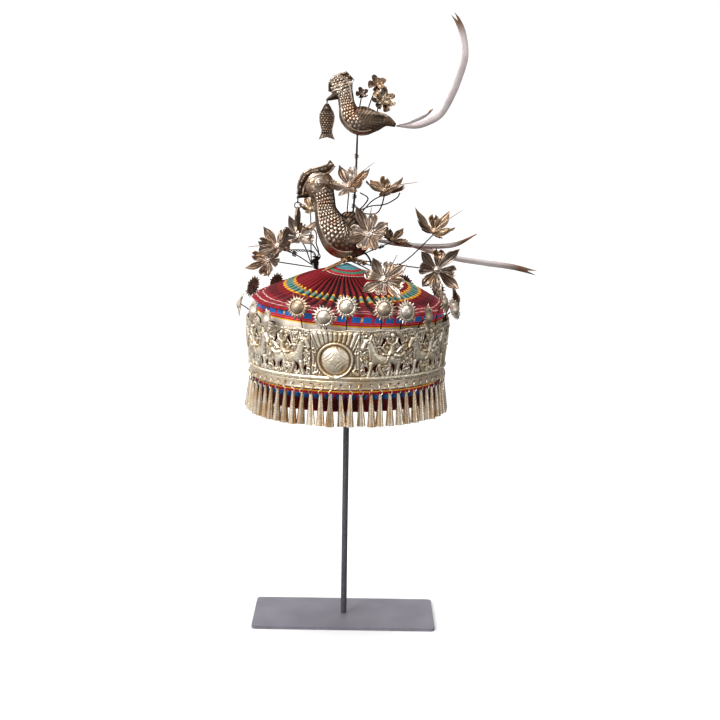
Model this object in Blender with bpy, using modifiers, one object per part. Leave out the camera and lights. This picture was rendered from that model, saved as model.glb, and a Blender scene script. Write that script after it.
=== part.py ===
"""A festival hat of pleated cloth and silver on its display stand.

Metres, +Z up. The origin is the middle of the base plate's underside, the hat's front faces -Y.
Angles round the hat start at the front and grow towards +X.
"""
import math

import bmesh
import bpy
from mathutils import Vector
from mathutils.bvhtree import BVHTree

# Fits
GAP = 0.0003            # clear space between two pieces that touch on the real hat
SINK = 0.0006           # how deep one fused shape starts inside another

# Stand
PLATE_WIDTH = 0.1785
PLATE_DEPTH = 0.083
PLATE_THICKNESS = 0.003
PLATE_CORNER = 0.004
ROD_RADIUS = 0.0029
ROD_SIDES = 12
REST_RADIUS = 0.016
REST_THICKNESS = 0.004
HAT_HEIGHT = 0.2475     # underside of the silver strip above the table

# Cloth
CROWN_OVERHANG = 0.0010 # crown's edge outside the silver strip
CROWN_LEVEL = 0.0705    # crown's edge above the silver strip's underside
CROWN_RISE = 0.036
CROWN_CLOTH = 0.0021
PLEATS = 52
LINING_SIDES = PLEATS // 2
PLEAT_DEPTH = 0.0012
WALL_CLOTH = 0.0020
HEM_DROP = 0.0214       # hem below the silver strip's underside
HEM_INSET = 0.0027      # hem inside the wall's face behind the band

# Silver band and the strip under it
SILVER = 0.0010         # sheet thickness
STRIP_HEIGHT = 0.0080
STRIP_RADIUS = 0.0932   # outer face
CROWN_RADIUS = STRIP_RADIUS + CROWN_OVERHANG
BAND_HEIGHT = 0.0468
BAND_FLARE = 0.0035     # top edge outside the foot
RIDGE_HEIGHT = 0.0034
RIDGE_PROUD = 0.0016
SLOTS = 13              # twelve riders and the medallion
BAND_SIDES = 3 * SLOTS
STRIP_SIDES = 32        # two cones to a side
MEDALLION_ANGLE = -6.0
MEDALLION_RADIUS = 0.0165
MEDALLION_UP = 0.41     # its middle above the band's foot, share of the band's height
MEDALLION_SIDES = 16
RELIEF = 0.0020
FLUTES = 5              # fan above the medallion, up to a share of the band's height
FLUTE_TOP = 0.97
FLUTE_FILL = 0.64       # width of a flute against its pitch
FLUTE_SPREAD = (0.75, 1.10)  # pitch at the foot and at the top against an even pitch

# Cones of the fringe
CONES = 64
CONE_SIDES = 6
CONE_LENGTH = 0.0290
CONE_MOUTH = 0.0038
CONE_NECK = 0.0015
CONE_HOLLOW = 0.020
LINK_DROP = 0.0045      # cone's top below the strip
LINK_RADIUS = 0.0005
LINK_SIDES = 3
CONE_FLARE = 0.0013     # mouth further out than the neck

# Wires and flowers
WIRE_RADIUS = 0.0006
POST_RADIUS = 0.0012
ROSETTE_RADIUS = 0.0116
ROSETTE_RAYS = 10
RAY_ROOT = 0.80         # notches between rays, share of the radius
DOME_HEIGHT = 0.36      # same share
FLOWER_RADIUS = 0.0230
SHEET = 0.0008          # thickness of a petal at its middle
PETALS = 8
HUB_SHARE = 0.17        # of the flower's radius
RIB_SHARE = 0.50
KNOT_RADIUS = 0.0060
KNOT_HEIGHT = 0.0062
COIL_RADIUS = 0.0026
COIL_HEIGHT = 0.0090

# Birds, fish and feathers
LOWER_BIRD = 0.092      # height from belly to crest
UPPER_BIRD = 0.0596
POST_LENGTH = 0.0765    # lower bird's back to upper bird's belly
POST_SEAT = 0.09        # along the lower bird's back, share of its height
BACK_SHARE = 0.415      # height of the lower bird's back there, same share
LOWER_BIRD_SHIFT = -0.04
UPPER_BIRD_SHIFT = 0.13
COIL_PLACE = (-0.34, 0.32)  # shares of the crown's radius
LOWER_FISH = 0.0235      # lengths of the two fish
UPPER_FISH = 0.0335
FISH_THICKNESS = 0.0014
LOWER_FISH_TURN = 22.0  # degrees from facing sideways, on its two rings
HOLE_RADIUS = 0.0009
HOLE_EDGE = 0.0019      # middle of a hole inside the edge
BEAK_HOLE_SHARE = 0.10  # of the beak's lower edge, from its tip
RING_RADIUS = 0.0032
RING_WIRE = 0.00045
RING_SIDES = 10
RING_WIRE_SIDES = 5
FEATHER_THICKNESS = 0.0009
FEATHER_LENGTH = 0.116  # rise of the longest feather

# Crown, from edge to apex: shares of radius and rise, lean and roll in degrees,
# sideways shift as a share of the radius, share of the pleat depth
CROWN_COLUMNS = ("radius", "rise", "lean", "roll", "shift", "pleat")
CROWN_SECTIONS = (
    (1.000, 0.000, 1.1, 2.3, 0.028, 0.40),
    (0.575, 0.467, 6.8, 2.8, 0.040, 1.00),
    (0.230, 0.750, 6.5, 5.0, -0.006, 0.80),
    (0.120, 0.870, 6.0, 4.0, -0.012, 0.00),
    (0.000, 1.000, 0.0, 0.0, -0.015, 0.00),
)

# Gaps of one rider slot: place along the slot and up the band, half width and half height
# as shares of the band's height, slant in degrees, corners
GAP_COLUMNS = ("along", "up", "wide", "high", "slant", "corners")
RIDER_GAPS = (
    (-0.05, 0.77, 0.040, 0.105, -14, 3),
    (0.31, 0.77, 0.040, 0.105, 14, 3),
    (-0.40, 0.25, 0.042, 0.085, 12, 3),
    (-0.20, 0.25, 0.040, 0.090, -12, 3),
    (0.19, 0.26, 0.042, 0.095, 14, 3),
    (0.40, 0.26, 0.040, 0.085, -10, 3),
)

# Raised outline of one horse and rider, facing the slot's -along end: shares of the slot's
# width and of the band's height, and the point towards which its crest draws in
RIDER_OUTLINE = ((-0.47, 0.60), (-0.34, 0.86), (-0.13, 0.60), (0.08, 0.90), (0.18, 0.90),
                 (0.25, 0.60), (0.38, 0.50), (0.32, 0.39), (-0.26, 0.39))
RIDER_MIDDLE = (0.03, 0.55)
CREST_SHARE = 0.70      # crest's size against the outline's

# Medallion, from rim to middle: shares of its radius and of the relief height
MEDALLION_SECTIONS = ((1.00, -0.3), (0.94, 0.9), (0.84, 0.4), (0.62, 1.6), (0.30, 2.3))
MEDALLION_PEAK = 2.5

# Rosettes: angle, height above the band's top and distance outside its top edge as shares
# of the rosette's radius, turn sideways and nod upward in degrees
ROSETTE_COLUMNS = ("angle", "up", "out", "turn", "nod")
ROSETTES = (
    (-58, 0.85, 0.45, -6, 8),
    (-44, 0.42, 0.62, -24, 2),
    (-25, 1.72, 0.62, 8, 12),
    (-11, 1.08, 0.72, 4, 2),
    (0, 1.90, 0.62, 0, 14),
    (19, 1.70, 0.50, -8, 14),
    (31, 1.42, 0.62, 2, 8),
    (44, 0.88, 0.78, 24, 2),
    (60, 1.90, 0.50, 10, 16),
    (73, 1.05, 0.70, -10, 20),
    (92, 1.50, 0.62, 10, 12),
    (-94, 0.75, 0.62, 8, 10),
    (-112, 1.95, 0.45, -10, 14),
    (-134, 1.95, 0.50, 6, 14),
    (-158, 1.90, 0.45, -8, 12),
    (172, 1.70, 0.50, 8, 10),
    (146, 1.90, 0.50, -6, 14),
    (120, 1.85, 0.50, 8, 12),
)
ROSETTE_SECTIONS = ((0.56, 0.10),)

# Pointed and blunt petal: where it is widest and how long it is, as shares of the flower's
# radius, and its width as a share of its sector
PETAL_SHAPES = ((0.58, 0.85, 1.00), (0.70, 0.80, 0.93))

# Flowers: middle as shares of the crown's radius (x, y) and of the lower bird's height above
# the crown's apex (z), the way they face, size share, cup share, turn, the piece that holds
# them, where on it the wire ends, and how far the wire arches up as a share of the radius
FLOWER_COLUMNS = ("x", "y", "z", "face", "size", "cup", "turn", "holder", "seat", "lift")
FLOWERS = (
    (0.355, -0.765, -0.085, (0.10, -0.85, 0.45), 1.00, 0.25, 8, "apex_knot", 0.30, 0.02),
    (0.890, -0.210, -0.040, (0.25, -0.95, 0.10), 1.05, 0.25, 20, "apex_knot", 0.40, 0.00),
    (0.863, -0.050, 0.345, (0.15, -0.45, 0.90), 1.00, 0.55, 12, "apex_knot", 0.22, -0.20),
    (0.353, 0.053, 0.745, (0.10, -0.25, 0.95), 1.00, 0.40, 0, "bird_lower", 0.15, 0.04),
    (-0.010, -0.150, 0.800, (-0.20, -0.60, 0.75), 0.92, 0.45, 15, "bird_lower", 0.03, 0.02),
    (0.200, -0.300, 0.322, (-0.25, -0.85, 0.50), 1.00, 0.40, 10, "apex_knot", 0.62, 0.04),
    (0.440, -0.060, 0.250, (0.45, -0.40, 0.80), 0.78, 0.45, 0, "apex_knot", 0.85, 0.00),
    (-0.516, 0.234, 0.249, (0.10, -0.70, 0.65), 0.82, 0.45, 5, "left_coil", 0.72, 0.04),
    (-0.720, -0.106, 0.170, (-0.45, -0.65, 0.60), 0.92, 0.40, 25, "left_coil", 0.50, 0.02),
    (-0.828, 0.149, -0.002, (-0.45, -0.80, 0.25), 0.85, 0.40, 10, "left_coil", 0.26, 0.00),
    (-0.400, 0.280, 0.535, (0.05, -0.50, 0.85), 0.62, 0.50, 0, "left_coil", 0.94, 0.04),
)

# Bird outline from tail to crown of the head: along, up, half height and half width as shares
# of the bird's height, measured from the middle of its belly
BIRD_COLUMNS = ("along", "up", "half_height", "half_width")
LOWER_BIRD_SECTIONS = (
    (0.345, 0.175, 0.020, 0.050),
    (0.265, 0.225, 0.110, 0.100),
    (0.130, 0.208, 0.190, 0.138),
    (-0.010, 0.218, 0.222, 0.150),
    (-0.125, 0.330, 0.165, 0.140),
    (-0.185, 0.470, 0.112, 0.100),
    (-0.205, 0.600, 0.105, 0.080),
    (-0.265, 0.745, 0.150, 0.092),
    (-0.310, 0.850, 0.100, 0.070),
    (-0.325, 0.900, 0.030, 0.030),
)
UPPER_BIRD_SECTIONS = (
    (0.600, 0.168, 0.020, 0.040),
    (0.440, 0.240, 0.090, 0.095),
    (0.250, 0.230, 0.165, 0.140),
    (0.050, 0.215, 0.205, 0.158),
    (-0.110, 0.305, 0.178, 0.142),
    (-0.175, 0.475, 0.125, 0.108),
    (-0.205, 0.620, 0.125, 0.100),
    (-0.265, 0.760, 0.165, 0.100),
    (-0.300, 0.880, 0.115, 0.075),
    (-0.310, 0.940, 0.040, 0.035),
)
BIRD_SIDES = 8
# Beak and crest outlines in the bird's own plane, same shares
LOWER_BEAK = ((-0.375, 0.775), (-0.490, 0.640), (-0.492, 0.595), (-0.340, 0.625))
UPPER_BEAK = ((-0.400, 0.720), (-0.510, 0.580), (-0.505, 0.530), (-0.330, 0.590))
LOWER_CREST = ((-0.380, 0.880), (-0.250, 0.935), (-0.195, 0.955), (-0.145, 1.000), (-0.095, 0.930),
               (-0.160, 0.850), (-0.230, 0.800))
UPPER_CREST = ((-0.400, 0.900), (-0.270, 0.980), (-0.190, 1.000), (-0.060, 0.865), (-0.105, 0.775),
               (-0.200, 0.780))
BEAK_ROOT = 0.034       # half thicknesses of beak and crest, of the bird's height
BEAK_TIP = 0.006
CREST_HALF = 0.018

# Feathers: bird, then along, side, up as shares of the feather length from the bird's tail,
# and half width as a share of the same length
FEATHER_COLUMNS = ("along", "side", "up", "half_width")
UPPER_FEATHER = (
    (0.00, 0.00, 0.000, 0.010), (0.16, 0.00, -0.002, 0.022), (0.28, 0.01, 0.042, 0.027),
    (0.36, 0.02, 0.102, 0.030), (0.43, 0.02, 0.222, 0.031), (0.49, 0.02, 0.372, 0.032),
    (0.54, 0.02, 0.558, 0.031), (0.52, 0.03, 0.731, 0.029), (0.48, 0.03, 0.832, 0.022),
    (0.433, 0.03, 0.896, 0.004),
)
UPPER_SHORT = (
    (0.00, -0.030, 0.006, 0.010), (0.11, -0.060, 0.034, 0.018), (0.22, -0.070, 0.082, 0.018),
    (0.29, -0.070, 0.135, 0.004),
)
LOWER_LEFT_FEATHER = (
    (0.00, -0.01, 0.00, 0.012), (0.06, 0.10, -0.015, 0.015), (0.15, 0.15, -0.035, 0.018),
    (0.33, 0.17, -0.050, 0.020), (0.52, 0.17, -0.052, 0.021), (0.67, 0.17, -0.030, 0.019),
    (0.83, 0.17, 0.055, 0.004),
)
LOWER_RIGHT_FEATHER = (
    (0.00, 0.02, 0.00, 0.012), (0.06, 0.16, -0.018, 0.015), (0.28, 0.26, -0.050, 0.019),
    (0.62, 0.27, -0.150, 0.023), (0.90, 0.26, -0.192, 0.025), (1.15, 0.26, -0.225, 0.022),
    (1.36, 0.26, -0.275, 0.004),
)
FEATHER_TAILS = (("feather_01", "bird_upper", UPPER_FEATHER), ("feather_02", "bird_upper", UPPER_SHORT),
                 ("feather_03", "bird_lower", LOWER_LEFT_FEATHER),
                 ("feather_04", "bird_lower", LOWER_RIGHT_FEATHER))

# Fish outline, half of it: share of the length below the top, half width share
FISH_OUTLINE = ((0.00, 0.045), (0.12, 0.120), (0.32, 0.215), (0.52, 0.205), (0.72, 0.160),
                (0.80, 0.160), (1.00, 0.235))
FISH_NOTCH = 0.93       # middle of the tail, share of the length

# Small pieces on the upper bird's back: place as shares of its height from the belly,
# petals, size share of a flower, cup, facing, and where along the back the wire stands
SMALL_COLUMNS = ("name", "along", "side", "up", "petals", "size", "cup", "face", "seat")
SMALL_PIECES = (
    ("bud", 0.060, -0.06, 0.640, 5, 0.29, 0.6, (0.10, -0.85, 0.50), 0.03),
    ("leaf", 0.300, 0.13, 0.800, 5, 0.44, 0.3, (0.20, -0.80, 0.50), 0.17),
    ("blossom", 0.390, -0.12, 0.545, 7, 0.58, 0.3, (0.20, -0.85, 0.50), 0.31),
)

COLOURS = {
    "steel": ((0.055, 0.055, 0.060), 0.45, 1.0),
    "cloth": ((0.260, 0.020, 0.030), 0.85, 0.0),
    "silver": ((0.560, 0.500, 0.400), 0.32, 1.0),
    "bronze": ((0.230, 0.170, 0.110), 0.35, 1.0),
    "pale_silver": ((0.660, 0.620, 0.570), 0.30, 1.0),
    "dark_wire": ((0.050, 0.045, 0.045), 0.50, 1.0),
}


def clear_scene():
    for item in list(bpy.data.objects):
        bpy.data.objects.remove(item)
    for name in ("tribal_hat", "cutters"):
        group = bpy.data.collections.new(name)
        bpy.context.scene.collection.children.link(group)
    return bpy.data.collections["tribal_hat"], bpy.data.collections["cutters"]


def material_for(name, finish):
    colour, roughness, metallic = COLOURS[finish]
    material = bpy.data.materials.new(name)
    material.use_nodes = True
    shader = material.node_tree.nodes["Principled BSDF"]
    shader.inputs["Base Color"].default_value = (*colour, 1.0)
    shader.inputs["Roughness"].default_value = roughness
    shader.inputs["Metallic"].default_value = metallic
    return material


def add_part(name, mesh, finish, smooth_angle=None):
    part = bpy.data.objects.new(name, mesh)
    PARTS.objects.link(part)
    mesh.materials.clear()
    mesh.materials.append(material_for(name, finish))
    if smooth_angle is not None:
        mesh.shade_smooth()
        mesh.set_sharp_from_angle(angle=math.radians(smooth_angle))
    return part


def add_cutter(name, mesh):
    cutter = bpy.data.objects.new(name, mesh)
    CUTTERS.objects.link(cutter)
    cutter.hide_render = True
    cutter.display_type = "WIRE"
    return cutter


def mesh_from(name, build):
    """Runs build(bm) on an empty mesh and returns it with its faces turned outward."""
    mesh = bpy.data.meshes.new(name)
    bm = bmesh.new()
    build(bm)
    bmesh.ops.recalc_face_normals(bm, faces=bm.faces)
    bm.to_mesh(mesh)
    bm.free()
    return mesh


def combine(part, cutter, operation):
    step = part.modifiers.new(cutter.name, "BOOLEAN")
    step.operation = operation
    step.solver = "EXACT"
    step.object = cutter


def evaluated_mesh(item):
    return bpy.data.meshes.new_from_object(item.evaluated_get(bpy.context.evaluated_depsgraph_get()))


def surface_of(item):
    bpy.context.view_layer.update()
    mesh = evaluated_mesh(item)
    tree = BVHTree.FromPolygons([v.co.copy() for v in mesh.vertices], [p.vertices[:] for p in mesh.polygons])
    bpy.data.meshes.remove(mesh)
    return tree


def on_hat(angle, radius, level):
    """A point at an angle in degrees round the hat, at a level above the silver strip's underside."""
    turn = math.radians(angle)
    return Vector((radius * math.sin(turn), -radius * math.cos(turn), HAT_HEIGHT + level))


def ring_of(bm, points):
    return [bm.verts.new(point) for point in points]


def zip_rings(bm, many, few, closed=True):
    """Joins two rings whose counts are in a whole ratio."""
    ratio = len(many) // len(few)
    spans = len(few) if closed else len(few) - 1
    for i in range(spans):
        after = few[(i + 1) % len(few)]
        if ratio == 1:
            bm.faces.new((few[i], after, many[(i + 1) % len(many)], many[i]))
            continue
        for j in range(ratio):
            bm.faces.new((few[i], many[(i * ratio + j + 1) % len(many)], many[i * ratio + j]))
        bm.faces.new((few[i], after, many[(i + 1) * ratio % len(many)]))


def fan(bm, ring, tip):
    point = bm.verts.new(tip)
    for i, corner in enumerate(ring):
        bm.faces.new((corner, ring[(i + 1) % len(ring)], point))


def smooth_route(points, steps):
    """Points along a smooth curve through the route's own points."""
    points = [Vector(point) for point in points]
    ends = [points[0] * 2 - points[1]] + points + [points[-1] * 2 - points[-2]]
    route = []
    for i in range(1, len(ends) - 2):
        before, start, end, after = ends[i - 1:i + 3]
        for j in range(steps):
            t = j / steps
            route.append(0.5 * (2 * start + (end - before) * t
                                + (2 * before - 5 * start + 4 * end - after) * t * t
                                + (3 * start - before - 3 * end + after) * t ** 3))
    return route + [points[-1]]


def wire_mesh(name, route, radius, resolution=0):
    """A wire along a route, as one closed mesh: square at resolution 0, round above it."""
    curve = bpy.data.curves.new(name, "CURVE")
    curve.dimensions = "3D"
    curve.bevel_depth = radius
    curve.bevel_resolution = resolution
    curve.use_fill_caps = True
    spline = curve.splines.new("POLY")
    spline.points.add(len(route) - 1)
    for slot, point in zip(spline.points, route):
        slot.co = (*point, 1.0)
    holder = bpy.data.objects.new(name, curve)
    bpy.context.scene.collection.objects.link(holder)
    mesh = evaluated_mesh(holder)
    bpy.data.objects.remove(holder)
    bm = bmesh.new()
    bm.from_mesh(mesh)
    bmesh.ops.remove_doubles(bm, verts=bm.verts, dist=0.00001)
    bmesh.ops.recalc_face_normals(bm, faces=bm.faces)
    bm.to_mesh(mesh)
    bm.free()
    return mesh


def frame_of(facing, turn):
    """Side, up and facing directions of a flower or rosette."""
    facing = Vector(facing).normalized()
    side = facing.cross(Vector((0, 0, 1))).normalized() * -1
    rise = facing.cross(side)
    angle = math.radians(turn)
    return (side * math.cos(angle) + rise * math.sin(angle),
            rise * math.cos(angle) - side * math.sin(angle), facing)


# Crown and its cloth wall

def crown_row(share):
    """The crown's section values at a share of its radius."""
    for outer, inner in zip(CROWN_SECTIONS, CROWN_SECTIONS[1:]):
        if share >= inner[0]:
            mix = (share - inner[0]) / (outer[0] - inner[0])
            return dict(zip(CROWN_COLUMNS, (b + (a - b) * mix for a, b in zip(outer, inner))))
    return dict(zip(CROWN_COLUMNS, CROWN_SECTIONS[-1]))


def crown_point(share, angle, lift=0.0):
    row = crown_row(share)
    turn = math.radians(angle)
    x = CROWN_RADIUS * share * math.sin(turn)
    y = -CROWN_RADIUS * share * math.cos(turn)
    z = HAT_HEIGHT + CROWN_LEVEL + CROWN_RISE * row["rise"]
    z += y * math.tan(math.radians(row["lean"])) - x * math.tan(math.radians(row["roll"])) + lift
    return Vector((x + row["shift"] * CROWN_RADIUS, y, z))


def crown_top():
    return crown_point(0.0, 0.0).z


def build_crown(bm):
    around = 2 * PLEATS
    rings = []
    for row in CROWN_SECTIONS[:-1]:
        count = around if row[5] else PLEATS
        lifts = [PLEAT_DEPTH * row[5] * (0.5 - i % 2) if row[5] else 0.0 for i in range(count)]
        rings.append(ring_of(bm, [crown_point(row[0], 360 * i / count, lifts[i]) for i in range(count)]))
    for outer, inner in zip(rings, rings[1:]):
        zip_rings(bm, outer, inner)
    fan(bm, rings[-1], crown_point(0.0, 0.0))
    lining = []
    for share in (1.0, CROWN_SECTIONS[1][0], CROWN_SECTIONS[3][0]):
        lining.append(ring_of(bm, [crown_point(share, 360 * i / LINING_SIDES, -CROWN_CLOTH)
                                   for i in range(LINING_SIDES)]))
    zip_rings(bm, rings[0], lining[0])
    for outer, inner in zip(lining, lining[1:]):
        zip_rings(bm, outer, inner)
    fan(bm, lining[-1], crown_point(0.0, 0.0, -CROWN_CLOTH))


def wall_face():
    """Radius of the wall's outer face, clear of the flat sides of the strip round it."""
    return (STRIP_RADIUS - SILVER) * math.cos(math.pi / STRIP_SIDES) - GAP


def wall_top(angle, radius):
    """The wall's upper edge, close under the flat sides of the crown's lining."""
    shift = CROWN_SECTIONS[0][4] * CROWN_RADIUS
    share = radius / (CROWN_RADIUS * math.cos(math.pi / LINING_SIDES))
    point = crown_point(min(share, 1.0), angle, -CROWN_CLOTH - 2 * GAP)
    turn = math.radians(angle)
    return Vector((radius * math.sin(turn) + shift, -radius * math.cos(turn), point.z))


def build_wall(bm):
    face = wall_face()
    foot = face - HEM_INSET
    angles = [360 * i / PLEATS for i in range(PLEATS)]
    levels = (STRIP_HEIGHT + BAND_HEIGHT, 0.0, -LINK_DROP, -HEM_DROP)
    outer = [ring_of(bm, [wall_top(a, face) for a in angles])]
    for level, radius in zip(levels, (face, face, foot, foot - SHEET)):
        outer.append(ring_of(bm, [on_hat(a, radius, level) for a in angles]))
    inner = [ring_of(bm, [wall_top(a, face - WALL_CLOTH) for a in angles[::2]])]
    for level, radius in zip(levels[1:], (face, foot, foot - SHEET)):
        inner.append(ring_of(bm, [on_hat(a, radius - WALL_CLOTH, level) for a in angles[::2]]))
    for upper, lower in zip(outer, outer[1:]):
        zip_rings(bm, upper, lower)
    zip_rings(bm, outer[-1], inner[-1])
    for lower, upper in zip(inner, inner[1:]):
        zip_rings(bm, lower, upper)
    zip_rings(bm, outer[0], inner[0])


# Silver band

def band_radius(level):
    """Outer face of the band at a level above the silver strip's underside."""
    return STRIP_RADIUS + BAND_FLARE * (level - STRIP_HEIGHT) / BAND_HEIGHT


def band_point(angle, along, up, proud):
    """A point on the band: along in metres from an angle, up from the band's foot, proud of its face."""
    level = STRIP_HEIGHT + GAP + up
    radius = band_radius(level)
    return on_hat(angle + math.degrees(along / radius), radius + proud, level)


def add_band():
    foot = STRIP_HEIGHT + GAP
    top = foot + BAND_HEIGHT
    ridge = foot + RIDGE_HEIGHT
    profile = [
        (band_radius(top), top),
        (band_radius(ridge), ridge),
        (band_radius(ridge) + RIDGE_PROUD, foot + RIDGE_HEIGHT / 2),
        (band_radius(foot), foot),
        (band_radius(foot) - SILVER, foot),
        (band_radius(top) - SILVER, top),
    ]
    mesh = bpy.data.meshes.new("band")
    points = [(radius, 0.0, HAT_HEIGHT + level) for radius, level in profile]
    mesh.from_pydata(points, [(i, (i + 1) % len(points)) for i in range(len(points))], [])
    band = add_part("band", mesh, "silver", 30)
    screw = band.modifiers.new("turn", "SCREW")
    screw.axis = "Z"
    screw.angle = math.radians(360)
    screw.steps = BAND_SIDES
    screw.render_steps = BAND_SIDES
    screw.use_merge_vertices = True
    screw.merge_threshold = 0.00001
    figures = add_cutter("band_figures", mesh_from("band_figures", build_figures))
    combine(band, figures, "UNION")
    gaps = add_cutter("band_gaps", mesh_from("band_gaps", build_gaps))
    combine(band, gaps, "DIFFERENCE")
    return band


def rider_slots():
    """Angle of each rider and the side it faces: riders look towards the medallion."""
    for slot in range(1, SLOTS):
        angle = MEDALLION_ANGLE + 360 * slot / SLOTS
        yield angle, 1 if slot <= SLOTS // 2 else -1


def slot_width():
    return 2 * math.pi * band_radius(BAND_HEIGHT / 2) / SLOTS


def gap_outline(row, flip):
    """Corner points of a gap in one rider slot, along and up in metres."""
    middle = Vector((flip * row["along"] * slot_width(), row["up"] * BAND_HEIGHT))
    slant = math.radians(flip * row["slant"])
    corners = []
    for i in range(row["corners"]):
        turn = 2 * math.pi * (i + 0.5) / row["corners"]
        along = row["wide"] * BAND_HEIGHT * math.cos(turn)
        up = row["high"] * BAND_HEIGHT * math.sin(turn)
        corners.append(middle + Vector((along * math.cos(slant) - up * math.sin(slant),
                                        along * math.sin(slant) + up * math.cos(slant))))
    return corners


def add_prism(bm, bases, tops):
    low = ring_of(bm, bases)
    high = ring_of(bm, tops)
    zip_rings(bm, low, high)
    bm.faces.new(low)
    bm.faces.new(high)


def build_gaps(bm):
    reach = 4 * SILVER
    for angle, flip in rider_slots():
        for values in RIDER_GAPS:
            row = dict(zip(GAP_COLUMNS, values))
            corners = gap_outline(row, flip)
            add_prism(bm, [band_point(angle, p.x, p.y, -reach) for p in corners],
                      [band_point(angle, p.x, p.y, reach) for p in corners])


def build_figures(bm):
    middle = Vector(RIDER_MIDDLE)
    for angle, flip in rider_slots():
        width = flip * slot_width()
        outline = [Vector(corner) for corner in RIDER_OUTLINE]
        crest = [middle.lerp(corner, CREST_SHARE) for corner in outline]
        add_prism(bm, [band_point(angle, p.x * width, p.y * BAND_HEIGHT, -SINK) for p in outline],
                  [band_point(angle, p.x * width, p.y * BAND_HEIGHT, RELIEF) for p in crest])
    build_medallion(bm)


def build_medallion(bm):
    centre_up = BAND_HEIGHT * MEDALLION_UP
    turns = [2 * math.pi * i / MEDALLION_SIDES for i in range(MEDALLION_SIDES)]
    rings = []
    for share, proud in MEDALLION_SECTIONS:
        rings.append(ring_of(bm, [band_point(MEDALLION_ANGLE, MEDALLION_RADIUS * share * math.cos(t),
                                             centre_up + MEDALLION_RADIUS * share * math.sin(t),
                                             proud * RELIEF) for t in turns]))
    bm.faces.new(rings[0])
    for outer, inner in zip(rings, rings[1:]):
        zip_rings(bm, outer, inner)
    fan(bm, rings[-1], band_point(MEDALLION_ANGLE, 0.0, centre_up, MEDALLION_PEAK * RELIEF))
    build_flutes(bm, centre_up + MEDALLION_RADIUS + SINK)


def build_flutes(bm, foot):
    """Raised flutes that fan out above the medallion, each with a narrower crest."""
    top = BAND_HEIGHT * FLUTE_TOP
    pitch = 2 * MEDALLION_RADIUS / FLUTES
    half = pitch * FLUTE_FILL / 2
    for i in range(FLUTES):
        low, high = (pitch * (i + 0.5 - FLUTES / 2) * spread for spread in FLUTE_SPREAD)
        outline = ((low - half, foot), (low + half, foot), (high + half, top), (high - half, top))
        inset = half / 2
        crest = ((low - inset, foot + inset), (low + inset, foot + inset),
                 (high + inset, top - inset), (high - inset, top - inset))
        add_prism(bm, [band_point(MEDALLION_ANGLE, x, z, -SINK) for x, z in outline],
                  [band_point(MEDALLION_ANGLE, x, z, RELIEF / 2) for x, z in crest])


# Cone fringe

def build_strip(bm, start):
    """Half of the plain strip under the band, open ring with flat ends."""
    step = 360 / STRIP_SIDES
    count = STRIP_SIDES // 2
    trim = math.degrees(GAP / STRIP_RADIUS)
    angles = [start + i * step for i in range(count + 1)]
    angles[0] += trim
    angles[-1] -= trim
    corners = ((STRIP_RADIUS, 0.0), (STRIP_RADIUS, STRIP_HEIGHT), (STRIP_RADIUS - SILVER, STRIP_HEIGHT),
               (STRIP_RADIUS - SILVER, 0.0))
    sections = [ring_of(bm, [on_hat(a, radius, level) for radius, level in corners]) for a in angles]
    for a, b in zip(sections, sections[1:]):
        zip_rings(bm, a, b)
    bm.faces.new(sections[0])
    bm.faces.new(sections[-1])


def build_cones(bm, start):
    step = 360 / CONES
    side_half = math.pi / STRIP_SIDES
    middle = (STRIP_RADIUS - SILVER / 2) * math.cos(side_half) / math.cos(side_half / 2)
    for i in range(CONES // 2):
        angle = start + (i + 0.5) * step
        top = on_hat(angle, middle, -LINK_DROP)
        mouth = on_hat(angle, middle + CONE_FLARE, -LINK_DROP - CONE_LENGTH)
        axis = (top - mouth).normalized()
        side = axis.cross(on_hat(angle, 1.0, -HAT_HEIGHT)).normalized()
        out = side.cross(axis)
        rings = []
        for centre, radius, sides in ((on_hat(angle, middle, SINK), LINK_RADIUS, LINK_SIDES),
                                      (top, CONE_NECK, LINK_SIDES), (mouth, CONE_MOUTH, CONE_SIDES)):
            turns = [2 * math.pi * j / sides for j in range(sides)]
            spokes = [math.cos(t) * side + math.sin(t) * out for t in turns]
            rings.append(ring_of(bm, [centre + radius * spoke for spoke in spokes]))
        bm.faces.new(rings[0])
        zip_rings(bm, rings[0], rings[1])
        zip_rings(bm, rings[2], rings[1])
        fan(bm, rings[2], mouth + axis * CONE_HOLLOW)


def add_fringe():
    for name, start in (("cone_fringe_front", -90), ("cone_fringe_back", 90)):
        strip = add_part(name, mesh_from(name, lambda bm, s=start: build_strip(bm, s)), "silver", 30)
        cones = mesh_from(name + "_cones", lambda bm, s=start: build_cones(bm, s))
        combine(strip, add_cutter(name + "_cones", cones), "UNION")


# Stand

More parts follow.
